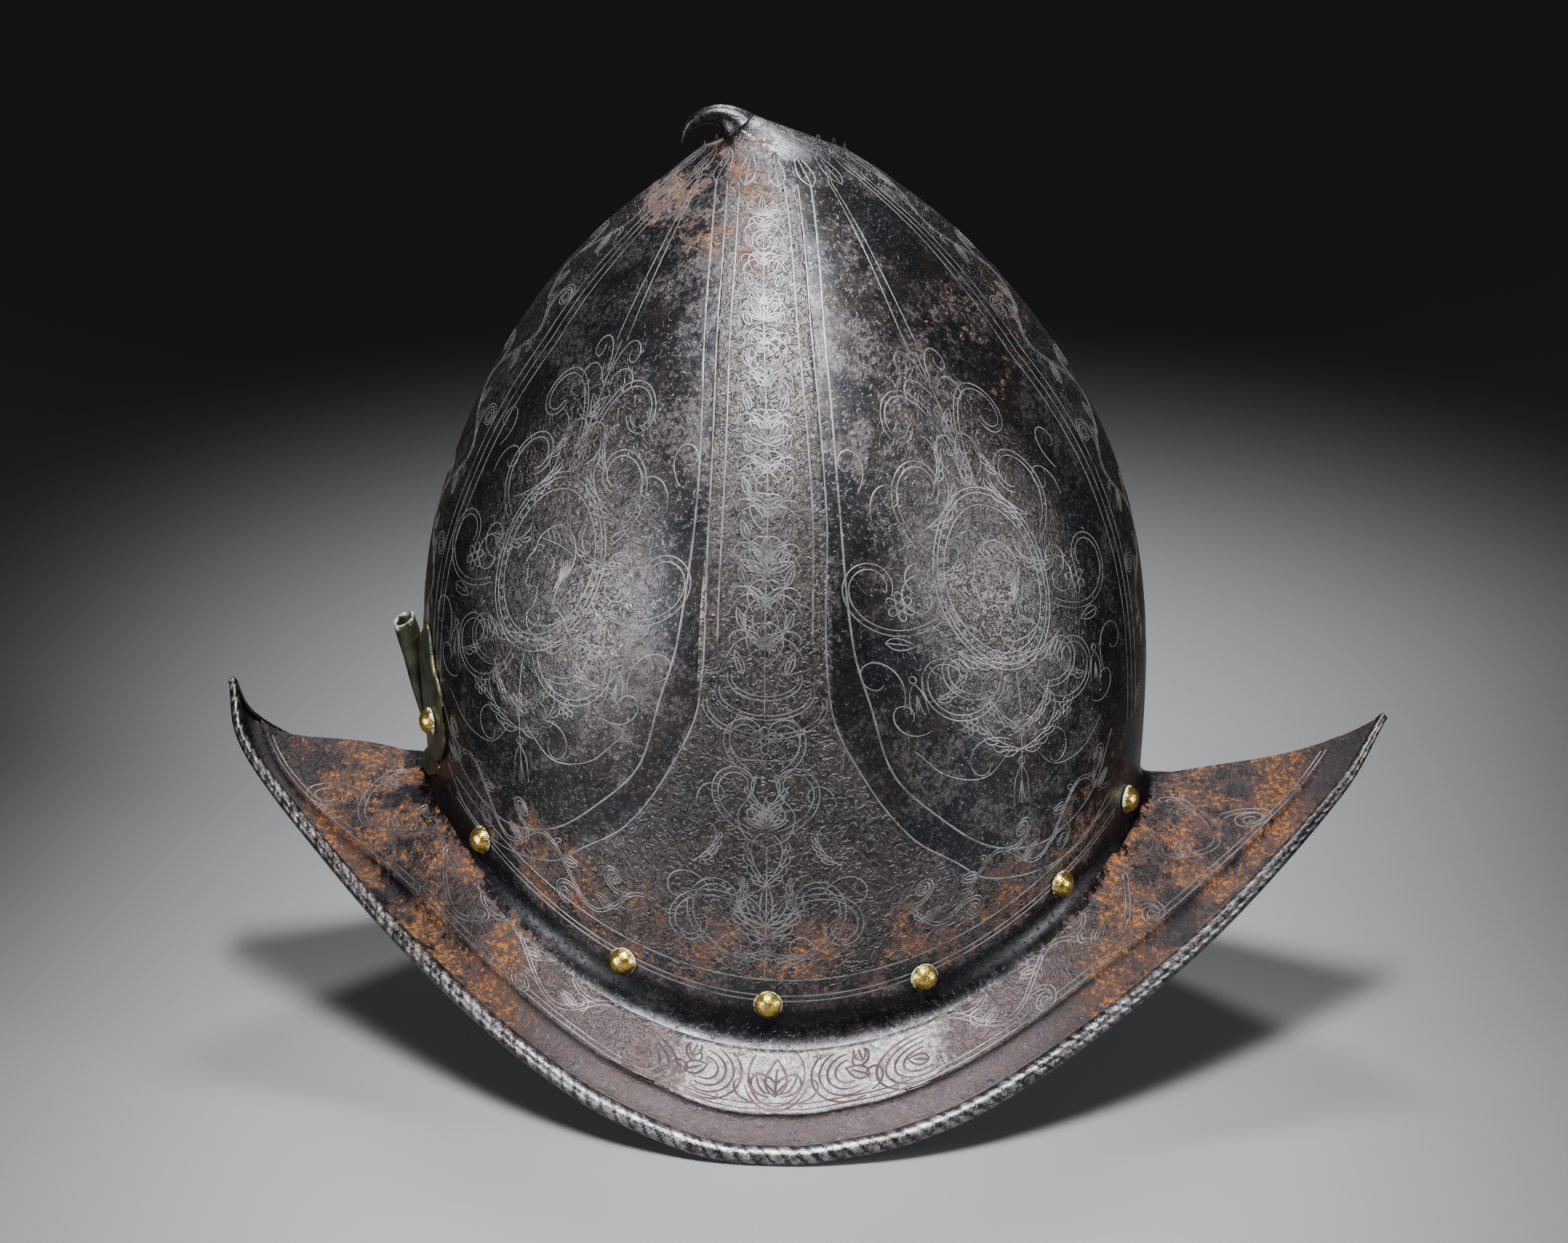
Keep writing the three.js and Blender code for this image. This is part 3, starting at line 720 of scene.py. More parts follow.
def centre_strokes():
    """A candelabrum of urns, leaves and roundels up the middle of the side."""
    half = strap([
        curl((3, 22), 15, 52, 1, 14, 1.6),
        curl((4, 40), 25, 44, -1, -16, 1.5),
        curl((3, 62), 20, 38, 2, 17, 1.5),
        curl((4, 80), 30, 30, 3, 20, 1.4),
    ])
    half += [
        curl((6, 20), 0, 26, 5, 22, 1.2),
        curl((16, 44), 60, 26, -4, -22, 1.3),
        curl((20, 70), 90, 18, 6, 28, 1.3),
        smooth([(0, 58), (6, 61), (8, 68), (4, 74), (2.5, 79)]),
        smooth([(0, 84), (8, 85), (10, 92), (7, 98)]),
    ]
    half += strap([oval((0, 100 + 4 * k), 17 - 3.5 * k, 9 - 1.6 * k, 270, 372) for k in range(3)], 1.2)
    half += sprays([
        ((5, 28), 60, 26), ((3, 44), 40, 22), ((14, 26), 96, 20), ((5, 66), 54, 18), ((22, 52), 50, 16),
        ((10, 36), 20, 16),
    ])
    for step in range(11):
        t = 112 + step * 12.5
        half_width = 12 - step * 0.5
        half += [
            curl((1, t), 35, half_width * 1.9, 5, 300 / half_width, 1.5),
            curl((1, t + 2), 80, half_width * 1.3, -3, -300 / half_width, 1.5),
            curl((half_width - 1, t + 1), 110, half_width * 1.2, 3, 260 / half_width, 1.5),
        ]
        half += moved(leaf(half_width * 0.75, 3), (1, t + 4), turn=48)
        half += moved(leaf(half_width * 0.6, 2.6), (half_width * 0.5, t - 3), turn=-20)
    strokes = mirrored(half)
    for t, size in ((124, 6), (162, 5.4), (199, 4.6), (236, 3.4)):
        strokes += [oval((0, t), size, size * 1.15), oval((0, t), size * 0.6, size * 0.75)]
    for t, size in ((138, 11), (174, 10), (211, 8), (245, 7), (34, 14), (64, 9)):
        strokes += moved(palmette(size), (0, t))
    strokes += moved(rosette(4), (0, 90))
    return strokes + [smooth([(0, 18), (0, 58)]), smooth([(0, 98), (0, 250)])]


def etched_share(surface, s, t):
    """Where the ground between the lines was etched down, leaving it rough and paler."""
    u = np.abs(s - ORNAMENT_AXIS)
    under = np.interp(u, *np.transpose(PANEL_LINES[1]))
    centre = np.clip((np.interp(t, *CENTRE_GROUND.T) - u) / GROUND_FADE + 0.5, 0, 1)
    centre = np.maximum(centre, np.clip((under - t) / 5, 0, 1) * (u < BASE_GROUND_REACH))
    ridge = np.abs(surface.ridge(t.ravel(), 1)).reshape(t.shape)
    comb = np.clip((COMB_LINES[2] * comb_width(ridge) - (ridge - np.abs(s))) / GROUND_FADE + 0.5, 0, 1)
    middle, half_width = (read_table(PANEL_SHAPE, k, t) for k in (1, 2))
    panel = 1 - np.hypot((u - middle) / (half_width * 0.86), (t - 142) / 66)
    return np.maximum.reduce([centre * 0.9, comb * 0.45, np.clip(panel * 1.6, 0, 0.75)])


def skull_engraving():
    """Panels, bands and borders on one side of the skull."""
    surface = SideMap()
    lines, fine = Engraving(surface), Engraving(surface)
    axis = np.array([ORNAMENT_AXIS, 0])
    for end in (-1, 1):
        t = np.linspace(COMB_FROM, COMB_TO, 140)
        ridge = np.abs(surface.ridge(t, end))
        for gap in COMB_LINES:
            lines.add([flat_line(end * (ridge - gap * comb_width(ridge)), t)], BORDER_WIDTH, taper=0)
        for index, points in enumerate(PANEL_LINES):
            lines.add([smooth(points) * (end, 1) + axis], BORDER_WIDTH if index else 0.75, taper=0)
        for stroke in strap(running_scroll(186, 11, 21), 1.0):
            t = COMB_SCROLL_FROM + stroke[:, 0]
            ridge = np.abs(surface.ridge(t, end))
            gap = (COMB_MIDDLE + stroke[:, 1]) * comb_width(ridge)
            fine.add([flat_line(end * (ridge - gap), t)], 0.5)
        for stroke in panel_strokes(-end):
            t = stroke[:, 1]
            centre, half = (read_table(PANEL_SHAPE, k, t) for k in (1, 2))
            fine.add([flat_line(end * (centre + stroke[:, 0] * half / PANEL_HALF), t) + axis], FINE_WIDTH)
    fine.add([stroke + axis for stroke in centre_strokes()], FINE_WIDTH)
    s = np.linspace(-BASE_REACH, BASE_REACH, 300)
    for rise in BASE_LINES:
        lines.add([flat_line(s, surface.foot(s) + rise)], BORDER_WIDTH, taper=0)
    for stroke in strap(running_scroll(82, 8.5, 17), 0.9):
        for end in (-1, 1):
            s = end * (BASE_SCROLL_FROM + stroke[:, 0])
            fine.add([flat_line(s, surface.foot(s) + BASE_MIDDLE + stroke[:, 1]) + axis], 0.5)
    for index in range(-4, 5):
        for stroke in leaf(13, 6):
            t = CROWN_LEAVES_RISE + stroke[:, 1]
            reach = np.abs(surface.ridge(t, 1))
            fine.add([flat_line((index / 4.4 + stroke[:, 0] / 42) * reach, t)], 0.6)
    return lines, fine


SILVER_REACH = 46
BRIM_REACH = 190
BRIM_LINES = (1.2, 3)
PATCH_WIDTH, PATCH_LIFT = 1.3, 0.05


def brim_engraving():
    """Scrolls on one side of the brim: faint ones, and the dark ones of the bright worn patch."""
    surface = BrimMap()
    faint, dark = Engraving(surface), Engraving(surface)
    end = surface.width_at(0)

    def near(strokes):
        return [stroke * (1, -1) + (0, end) for stroke in strokes]

    half = [oval((21, 11.5), 11 - 2.3 * k, 9.6 - 2 * k, 96, 296) for k in range(4)]
    half += [oval((43, 9), 14 - 2.7 * k, 8.6 - 1.7 * k, 84, 300) for k in range(4)]
    half += [curl((22, 20), -10, 17, -8, -34, 1.3), curl((27, 4), 20, 16, 8, 34, 1.3)]
    half += [curl((6, 3), 10, 12, 4, 30)]
    half += moved(leaf(8, 4.5), (27, 9), turn=62) + moved(leaf(7, 4), (25, 14), turn=20)
    half += moved(leaf(7, 4), (45, 8), turn=70) + moved(rosette(2.4), (12, 19))
    half += moved(leaf(9, 5), (0, 6), turn=42) + [curl((1, 5), 0, 14, 6, 30, 1.4)]
    palm = [oval((0, 12), 8, 10), oval((0, 12), 9.4, 11.4, 200, 340)] + moved(leaf(12, 7), (0, 5))
    dark.add(near(mirrored(half) + palm), PATCH_WIDTH, PATCH_LIFT)
    v = np.linspace(-SILVER_REACH, SILVER_REACH, 120)
    for inset in BRIM_LINES:
        dark.add([flat_line(v, surface.width_at(v) - inset)], 0.8, PATCH_LIFT, 0)
    for side in (-1, 1):
        v = np.linspace(SILVER_REACH, BRIM_REACH, 200) * side
        for inset in BRIM_LINES:
            faint.add([flat_line(v, surface.width_at(v) - inset)], BORDER_WIDTH, taper=0)
        for stroke in strap(running_scroll(128, 10, 22), 1.5):
            v = side * (SILVER_REACH + 4 + stroke[:, 0])
            faint.add([flat_line(v, surface.width_at(v) * (0.5 - stroke[:, 1] / 27))], 0.62)
    return faint, dark


# Material helpers

class Nodes:
    """A material's node tree."""

    def __init__(self, name):
        self.material = bpy.data.materials.new(name)
        self.material.use_nodes = True
        self.tree = self.material.node_tree
        self.place = self.node("TexCoord", {})["Object"]

    def fill(self, node, inputs):
        """Sets or links a node's inputs. None leaves an input as it is, and a colour has no alpha."""
        for key, value in inputs.items():
            if isinstance(value, bpy.types.NodeSocket):
                self.tree.links.new(value, node.inputs[key])
            elif value is not None:
                node.inputs[key].default_value = (*value, 1) if isinstance(value, tuple) else value

    def node(self, kind, inputs, **settings):
        """The outputs of a new node."""
        node = self.tree.nodes.new("ShaderNode" + kind)
        for key, value in settings.items():
            setattr(node, key, value)
        self.fill(node, inputs)
        return node.outputs

    def noise(self, size, detail=4.0, roughness=0.55, distortion=0.0):
        """Noise whose features are about size millimetres across."""
        return self.node("TexNoise", {
            "Vector": self.place, "Scale": 1 / (size * MM), "Detail": detail, "Roughness": roughness,
            "Distortion": distortion,
        })["Fac"]

    def attribute(self, name):
        return self.node("Attribute", {}, attribute_name=name)["Fac"]

    def ramp(self, value, low, high, to_low=0.0, to_high=1.0):
        """Value from low to high, mapped smoothly."""
        return self.node("MapRange", {
            "Value": value, "From Min": low, "From Max": high, "To Min": to_low, "To Max": to_high,
        }, interpolation_type="SMOOTHSTEP")["Result"]

    def math(self, operation, a, b):
        return self.node("Math", {0: a, 1: b}, operation=operation)[0]

    def times(self, a, b):
        return self.math("MULTIPLY", a, b)

    def plus(self, a, b):
        return self.math("ADD", a, b)

    def less(self, a, b):
        return self.math("SUBTRACT", a, b)

    def most(self, a, b):
        return self.math("MAXIMUM", a, b)

    def mix(self, share, a, b):
        """Colours a and b, by share of b."""
        return self.node("Mix", {0: share, 6: a, 7: b}, data_type="RGBA")[2]

    def blend(self, share, a, b):
        """Numbers a and b, by share of b."""
        return self.node("Mix", {0: share, 2: a, 3: b}, data_type="FLOAT")[0]

    def bump(self, height, depth, below=None):
        """Relief whose full height is depth millimetres."""
        inputs = {"Height": height, "Strength": 1, "Distance": depth * MM, "Normal": below}
        return self.node("Bump", inputs)["Normal"]

    def finish(self, colour, roughness, metallic, normal=None):
        shader = self.tree.nodes["Principled BSDF"]
        self.fill(shader, {
            "Base Color": colour, "Roughness": roughness, "Metallic": metallic, "Normal": normal,
        })
        return self.material


BLUE_BLACK = (0.030, 0.031, 0.034)
BROWN_BLACK = (0.038, 0.033, 0.030)
PITTED = (0.092, 0.080, 0.082)
BARE_STEEL = (0.24, 0.235, 0.235)
SILVER = (0.30, 0.29, 0.27)
ETCHED = (0.064, 0.056, 0.051)
GRANULAR = (0.064, 0.048, 0.046)
# Near-black, mixed in by the black attribute: painted shade in creases and grooves, and a darker tone
# elsewhere
SHADE_AND_DARK_TONE = (0.010, 0.010, 0.011)
DEEP_RUST = (0.030, 0.013, 0.008)
ORANGE_RUST = (0.23, 0.080, 0.006)
BRIGHT_LINE = (0.14, 0.137, 0.135)
BRIGHT_LINE_GRIME = (0.045, 0.042, 0.04)
DARK_LINE = (0.012, 0.009, 0.009)
DARK_LINE_GRIME = (0.03, 0.023, 0.022)
FAINT_LINE = (0.085, 0.075, 0.07)
FAINT_LINE_GRIME = (0.025, 0.022, 0.02)
BRASS = (0.58, 0.43, 0.10)
DULL_BRASS = (0.30, 0.2, 0.04)
BROWN_BRASS = (0.09, 0.05, 0.015)
BRASS_CRUST = (0.36, 0.42, 0.33)
GREEN_PATINA = (0.028, 0.036, 0.024)
BROWN_PATINA = (0.07, 0.066, 0.035)
WORN_GOLD = (0.55, 0.4, 0.14)
PALE_CRUST = (0.34, 0.42, 0.32)


def steel_material(name):
    """Old patinated steel. Attributes say where it is etched, rusted, worn bright, granular or black
    (painted shade and dark tone).
    """
    n = Nodes(name)
    mottle = n.ramp(n.noise(24, 5, 0.6), 0.4, 0.62)
    colour = n.mix(mottle, BLUE_BLACK, BROWN_BLACK)
    speck = n.ramp(n.noise(1.2, 6, 0.8), 0.52, 0.66)
    worn = n.times(speck, n.ramp(n.noise(11, 4, 0.6), 0.36, 0.64, 0.15, 0.8))
    colour = n.mix(worn, colour, BARE_STEEL)
    bloom = n.ramp(n.noise(19, 10, 0.76), 0.49, 0.57)
    pitted = n.times(bloom, n.ramp(n.noise(1.5, 6, 0.8), 0.44, 0.56, 0.1, 0.85))
    colour = n.mix(pitted, colour, PITTED)
    etched = n.times(n.attribute("etched"), n.ramp(n.noise(1.9, 7, 0.8), 0.42, 0.58, 0.1, 1))
    colour = n.mix(etched, colour, ETCHED)
    granular = n.times(n.attribute("granular"), n.ramp(n.noise(2.6, 6, 0.8), 0.4, 0.56, 0.15, 1))
    colour = n.mix(granular, colour, GRANULAR)
    patch = n.plus(n.attribute("silver"), n.times(n.noise(3, 8, 0.8), 1.6))
    silver = n.ramp(patch, 1.25, 1.65)
    silver = n.times(silver, n.ramp(n.noise(2.3, 8, 0.82), 0.4, 0.54, 0.3, 1))
    colour = n.mix(silver, colour, SILVER)
    # Painted shade: the black attribute darkens the crease at the skull's foot and the rope's cut grooves.
    # Elsewhere it gives a darker tone, on the brim's ends and the stalk.
    colour = n.mix(n.attribute("black"), colour, SHADE_AND_DARK_TONE)
    rust = n.times(n.attribute("rust"), n.ramp(n.noise(17, 5, 0.65), 0.36, 0.58, 0.55, 1.06))
    deep_from = n.less(0.76, n.times(rust, 0.40))
    deep = n.ramp(n.noise(4, 9, 0.8), deep_from, n.plus(deep_from, 0.14))
    bright_from = n.less(0.72, n.times(rust, 0.25))
    bright = n.ramp(n.noise(1.5, 7, 0.8), bright_from, n.plus(bright_from, 0.12))
    bright = n.times(bright, n.ramp(n.noise(10, 7, 0.7), 0.38, 0.54, 0.2, 1))
    colour = n.mix(deep, colour, DEEP_RUST)
    colour = n.mix(bright, colour, ORANGE_RUST)
    rusted = n.most(deep, bright)
    roughness = n.ramp(n.noise(6, 5, 0.7), 0.3, 0.7, 0.27, 0.36)
    roughness = n.blend(n.most(n.most(granular, etched), pitted), roughness, 0.48)
    roughness = n.blend(silver, roughness, 0.44)
    roughness = n.blend(rusted, roughness, 0.85)
    metallic = n.blend(rusted, 0.95, 0.1)
    normal = n.bump(n.noise(0.9, 5, 0.8), 0.05)
    normal = n.bump(n.ramp(n.noise(1.6, 3, 0.7), 0.3, 0.45), 0.07, normal)
    relief = n.ramp(n.noise(4.6, 3, 0.5, 3.0), 0.44, 0.56)
    normal = n.bump(n.times(n.attribute("etched"), relief), 0.22, normal)
    normal = n.bump(n.times(n.attribute("etched"), n.noise(2.0, 4, 0.7)), 0.3, normal)
    normal = n.bump(n.times(n.attribute("granular"), n.noise(1.9, 5, 0.75)), 0.5, normal)
    normal = n.bump(n.noise(15, 3, 0.5), 0.35, normal)
    return n.finish(colour, roughness, metallic, normal)


def line_material(name, clean, grimy, metallic):
    """The etched lines, clean in some places and grimy in others."""
    n = Nodes(name)
    grime = n.ramp(n.noise(9, 6, 0.75), 0.42, 0.66)
    colour = n.mix(grime, clean, grimy)
    colour = n.mix(n.ramp(n.noise(1.3, 4, 0.7), 0.56, 0.7), colour, DEEP_RUST)
    normal = n.bump(n.noise(0.8, 3, 0.7), 0.05)
    return n.finish(colour, 0.42, metallic, normal)


def brass_material():
    """Dented brass, with a pale green crust where the crust attribute says."""
    n = Nodes("rivet_brass")
    patch_from = n.less(0.95, n.times(n.attribute("crust"), 0.55))
    patch = n.ramp(n.noise(1.4, 5, 0.7), patch_from, n.plus(patch_from, 0.1))
    colour = n.mix(n.ramp(n.noise(1.2, 4), 0.35, 0.65), BRASS, DULL_BRASS)
    colour = n.mix(n.ramp(n.noise(0.8, 4, 0.7), 0.54, 0.72), colour, BROWN_BRASS)
    colour = n.mix(patch, colour, BRASS_CRUST)
    roughness = n.blend(patch, 0.25, 0.85)
    metallic = n.blend(patch, 0.95, 0.05)
    normal = n.bump(n.noise(1.5, 3), 0.35)
    normal = n.bump(n.noise(0.5, 4, 0.7), 0.06, normal)
    return n.finish(colour, roughness, metallic, normal)


def bronze_material():
    """Dark green-black patina, with gold along the worn edge and a pale crust where the attribute says."""
    n = Nodes("holder_bronze")
    worn = n.ramp(n.plus(n.attribute("edge"), n.noise(6, 5, 0.7)), 1.5, 1.58)
    crust = n.ramp(n.plus(n.attribute("crust"), n.noise(2.4, 6, 0.75)), 1.0, 1.25)
    colour = n.mix(n.ramp(n.noise(7, 5, 0.6), 0.4, 0.65), GREEN_PATINA, BROWN_PATINA)
    colour = n.mix(worn, colour, WORN_GOLD)
    colour = n.mix(crust, colour, PALE_CRUST)
    roughness = n.blend(worn, n.ramp(n.noise(4, 4), 0.3, 0.7, 0.3, 0.5), 0.35)
    roughness = n.blend(crust, roughness, 0.9)
    metallic = n.blend(crust, n.blend(worn, 0.75, 1.0), 0.05)
    normal = n.bump(n.noise(1.2, 5, 0.7), 0.1)
    normal = n.bump(n.noise(9, 2), 0.4, normal)
    return n.finish(colour, roughness, metallic, normal)


# Pieces

COLUMNS = 480
SEAT_HOLE = 0.55
APEX_SHARES = (0.15, 0.3, 0.45, 0.7)
SKULL_ROWS = 130
ROW_CROWDING = 1.1
FILLET_ROWS = 10
FIELD_ROWS = 14
CHANNEL_SHARES = (0.05, 0.12, 0.2, 0.3, 0.4, 0.5, 0.6, 0.7, 0.8, 0.9, 1)
INSIDE_COLUMNS = 240
INSIDE_CROWN = 0.94


def swell(x, low, high, soft):
    """1 between low and high, fading to 0 over soft on either side."""
    return np.clip((x - low) / soft + 1, 0, 1) * np.clip((high - x) / soft + 1, 0, 1)


def rust_share(points, above_foot):
    """How much orange rust breaks out: on the base band, the brim's ends, the apex and the ridges."""
    x, y, z = points[..., 0], points[..., 1], points[..., 2]
    on_brim = above_foot < 1
    ends = swell(np.abs(x), 88, 144, 40) * np.where(on_brim, 0.95, 0)
    band = swell(above_foot, 12, 34, 12) * swell(np.abs(x), 0, 84, 20) * 0.82
    apex = swell(z, 246, 275, 14) * swell(x, -50, -16, 10) * 0.85
    comb = swell(z, 205, 238, 14) * swell(x, 26, 62, 10) * 0.6
    ridge = np.clip(1 - np.abs(y) / 12, 0, 1) * 0.3
    return np.maximum.reduce([ends, band, apex, comb, ridge, np.full_like(x, 0.16)])


def shell_skin(material):
    """The shell's outer face, from the stalk's seat down over the brim to the roped edge."""
    angle = full_turn(COLUMNS)
    shoulder = APEX_HEIGHT - (1 - SHOULDER_RISE) * SKULL_HEIGHT
    seat = seat_point(angle, 1)
    top = skull_point(angle, shoulder)
    rows = [seat_point(angle, SEAT_HOLE), seat] + [seat + (top - seat) * u for u in APEX_SHARES]
    wall = foot_at(angle) + FILLET
    for row in range(SKULL_ROWS + 1):
        rows.append(skull_point(angle, shoulder + (wall - shoulder) * (row / SKULL_ROWS) ** ROW_CROWDING))
    brim = BrimSections(angle)
    rows += [brim.fillet(turn) for turn in np.linspace(0, 1, FILLET_ROWS + 1)[1:]]
    brim_from = len(rows)
    for row in range(1, FIELD_ROWS + 1):
        rows.append(brim.surface(FILLET + (brim.field_end - FILLET) * row / FIELD_ROWS))
    channel_from = len(rows)
    for u in CHANNEL_SHARES:
        rows.append(brim.surface(brim.field_end + u * CHANNEL_WIDTH * brim.stretch))
    rows.append(brim.under_rope())
    points = np.array(rows)
    faces = grid_faces(len(rows), COLUMNS)
    skin = make_object("shell_skin", points, faces, material, ["helmet_shell"], "steel")
    row = np.arange(len(rows))[:, None]
    above_foot = np.where(row < brim_from, points[..., 2] - foot_at(angle), 0)
    x, y = points[..., 0], points[..., 1]
    near = np.where(y < 0, 1, 0.55)
    on_field = (row >= brim_from - 2) & (row < channel_from)
    add_attribute(skin, "rust", rust_share(points, above_foot))
    add_attribute(skin, "silver", on_field * 0.95 * swell(x, -26, 32, 22) * near)
    surface = SideMap()
    quarter = np.broadcast_to(quarter_of(angle) * math.pi / 2, x.shape)
    height = np.clip(points[..., 2], surface.heights[0], surface.heights[-1])
    s, t = surface.read_round(quarter, height), np.interp(height, surface.heights, surface.up)
    share = etched_share(surface, s, t) * swell(t - surface.foot(s), 18, 300, 5)
    add_attribute(skin, "etched", np.where(row < brim_from - FILLET_ROWS, share, on_field * 0.7))
    # Painted shade: the fillet where the skull turns into the brim is darkened by the black attribute. The
    # brim is also darker in tone towards its ends.
    fillet = (row < brim_from - 2) * swell(above_foot, 0, 7, 3) * 0.85
    ends = (row >= brim_from - 2) * swell(np.abs(x), 112, 200, 60) * 0.8
    add_attribute(skin, "black", np.maximum(fillet, ends))
    add_attribute(skin, "granular", ((row >= channel_from) + on_field * 0.85) * np.ones_like(x))


def shell_lining_face(material):
    """The inside of the skull and the underside of the brim."""
    angle = full_turn(INSIDE_COLUMNS)
    brim = BrimSections(angle)
    rows = [brim.under_rope()]
    for u in np.linspace(0.9, 0, 10):
        s = brim.field_end + u * CHANNEL_WIDTH * brim.stretch
        depth = brim.sunken * read_table(CHANNEL_PROFILE, 1, u)
        rows.append(brim.point(s, brim.bulge(s) - depth - SHEET))
    for u in np.linspace(0.9, 0.05, 10):
        s = FILLET + (brim.field_end - FILLET) * u
        rows.append(brim.point(s, brim.bulge(s) - SHEET))
    foot = foot_at(angle)
    for turn in np.linspace(0.6, 0, 5):
        rows.append(brim.fillet(turn) - skull_normal(angle, foot + FILLET) * SHEET)
    crown = FOOT_HEIGHT + INSIDE_CROWN * SKULL_HEIGHT
    for u in np.linspace(0.02, 1, 50):
        height = foot + FILLET + (crown - foot - FILLET) * u
        rows.append(skull_point(angle, height) - skull_normal(angle, height) * SHEET)
    middle = rows[-1].mean(axis=0)
    rows.append(middle + (rows[-1] - middle) * 0.02)
    points = np.array(rows)
    inside = make_object("shell_inside", points, grid_faces(*points.shape[:2]), material, slot="steel")
    add_attribute(inside, "rust", np.full(points.shape[:2], 0.5))


ROPE_PITCH = 4.5
ROPE_RADIUS = ROLL_RADIUS * math.cos(math.pi / 8) - 0.01
ROPE_CUT = 0.5
ROPE_NOSE = 0.85
ROPE_STRANDS = 3
GROOVE_WIDTH = 0.38


def roped_edge(material, side):
    """One side of the turned edge, from the rear tip to the front tip, cut like a rope."""
    count, around = 1500, 22
    angle = np.linspace(-math.pi / 2, math.pi / 2, 4001)
    path = edge_point(angle)
    lengths = lengths_along(path)
    reach = lengths[-1]
    at = np.linspace(-ROPE_NOSE, reach + ROPE_NOSE, count)
    centre = np.stack([np.interp(at, lengths, path[:, k]) for k in range(3)], axis=1)
    over = np.where(at < 0, at, np.maximum(at - reach, 0))
    centre[:, 0] += over
    centre[:, 2] += np.abs(over) * 0.9
    tangent = unit(np.gradient(centre, axis=0))
    out = unit(np.cross(tangent, np.array([0, 0, 1.0])))
    up = np.cross(out, tangent)
    phi = full_turn(around)
    turned = np.abs(np.interp(at, lengths, angle)) / (math.pi / 2)
    uneven = 0.24 * np.sin(at / 17) + 0.2 * np.sin(at / 7.3 + 1) + 0.16 * np.sin(at / 3.1 + 2)
    cut = ROPE_CUT * np.clip(turned * 1.3 + uneven, 0.02, 0.6)
    phase = 2 * math.pi * at[:, None] / ROPE_PITCH + ROPE_STRANDS * phi[None, :]
    wrapped = np.abs((phase + math.pi) % (2 * math.pi) - math.pi)
    groove = np.exp(-((wrapped / GROOVE_WIDTH) ** 2))
    radius = ROPE_RADIUS * read_table(EDGE_SECTIONS, 4, turned)[:, None] - cut[:, None] * groove
    radius *= np.sqrt(np.clip(1 - (np.abs(over) / (ROPE_NOSE + 0.6)) ** 2, 0, 1))[:, None]
    across, rise = (radius * f(phi) for f in (np.cos, np.sin))
    points = centre[:, None] + out[:, None] * across[..., None] + up[:, None] * rise[..., None]
    points, faces = on_side(points, grid_faces(count, around), side)
    edge = make_object(f"roped_edge_{side}", points, faces, material, slot="steel")
    add_attribute(edge, "rust", np.clip(rust_share(points, 0) * 0.6 + groove * 0.2, 0, 1))
    # Painted shade: the rope's cut grooves are darkened, more where they are cut deeper.
    add_attribute(edge, "black", groove * 0.7 * (cut / ROPE_CUT)[:, None])
    add_attribute(edge, "silver", (1 - groove) * (0.68 - 0.2 * turned[:, None]))


def stalk(material):
    """The hooked stalk on the apex."""
    count, around = 70, 40
    along = np.linspace(0, 1, count)
    back, up, tilt, thick, broad = (read_table(STALK_SECTIONS, k, along) for k in range(1, 6))
    lift = np.array([-math.sin(SEAT_SLOPE), 0, math.cos(SEAT_SLOPE)]) * CLEARANCE / 2
    seat = np.array([SKULL_AXIS - SEAT_BACK, 0, APEX_HEIGHT - SEAT_DROP]) + lift
    middle = seat + xyz(-back * STALK_REACH, 0, up * STALK_REACH)
    slope = SEAT_SLOPE + tilt
    phi = full_turn(around)
    half = (thick * SEAT_LENGTH / 2)[:, None] * np.sin(phi)
    points = middle[:, None] + xyz(
        np.cos(slope)[:, None] * half,
        -(broad * SEAT_WIDTH / 2)[:, None] * np.cos(phi),
        np.sin(slope)[:, None] * half,
    )
    ends = [points[:1].mean(axis=1, keepdims=True), points[-1:].mean(axis=1, keepdims=True)]
    caps = [np.repeat(end, around, axis=1) for end in ends]
    points = np.concatenate([caps[0], points, caps[1]])
    faces = grid_faces(len(points), around)[:, ::-1]
    made = make_object("stalk_skin", points, faces, material, ["apex_stalk"], "steel")
    add_attribute(made, "rust", np.full(points.shape[:2], 0.3))
    add_attribute(made, "black", np.full(points.shape[:2], 0.45))


def rivet_places():
    """Each rivet's name, place and normal."""
    places = []
    for index, degrees in enumerate(RIVET_ANGLES):
        for side in SIDES:
            quarter = math.radians(degrees)
            angle = quarter if side == "right" else math.pi - quarter
            height = foot_at(angle) + RIVET_RISE
            place, normal = skull_point(angle, height), skull_normal(angle, height)
            places.append((f"lining_rivet_{side}_{index + 1}", place, normal))
    for side, sign in SIDES.items():
        height = PLATE_FOOT + HOLDER_RIVET_RISE
        angle = skull_angle_at(-sign * HOLDER_RIVET_OUT, height)
        normal = skull_normal(angle, height)
        places.append((f"holder_rivet_{side}", skull_point(angle, height) + normal * PLATE_GAP, normal))
    return places


# A rivet's head: the shares of its radius and of its height
HEAD_PROFILE = np.array([
    (0, 1), (0.18, 0.985), (0.36, 0.94), (0.54, 0.85), (0.7, 0.71), (0.84, 0.5), (0.94, 0.28), (1, 0.1),
    (0.99, 0.0), (0.9, -0.02), (0, -0.02),
])


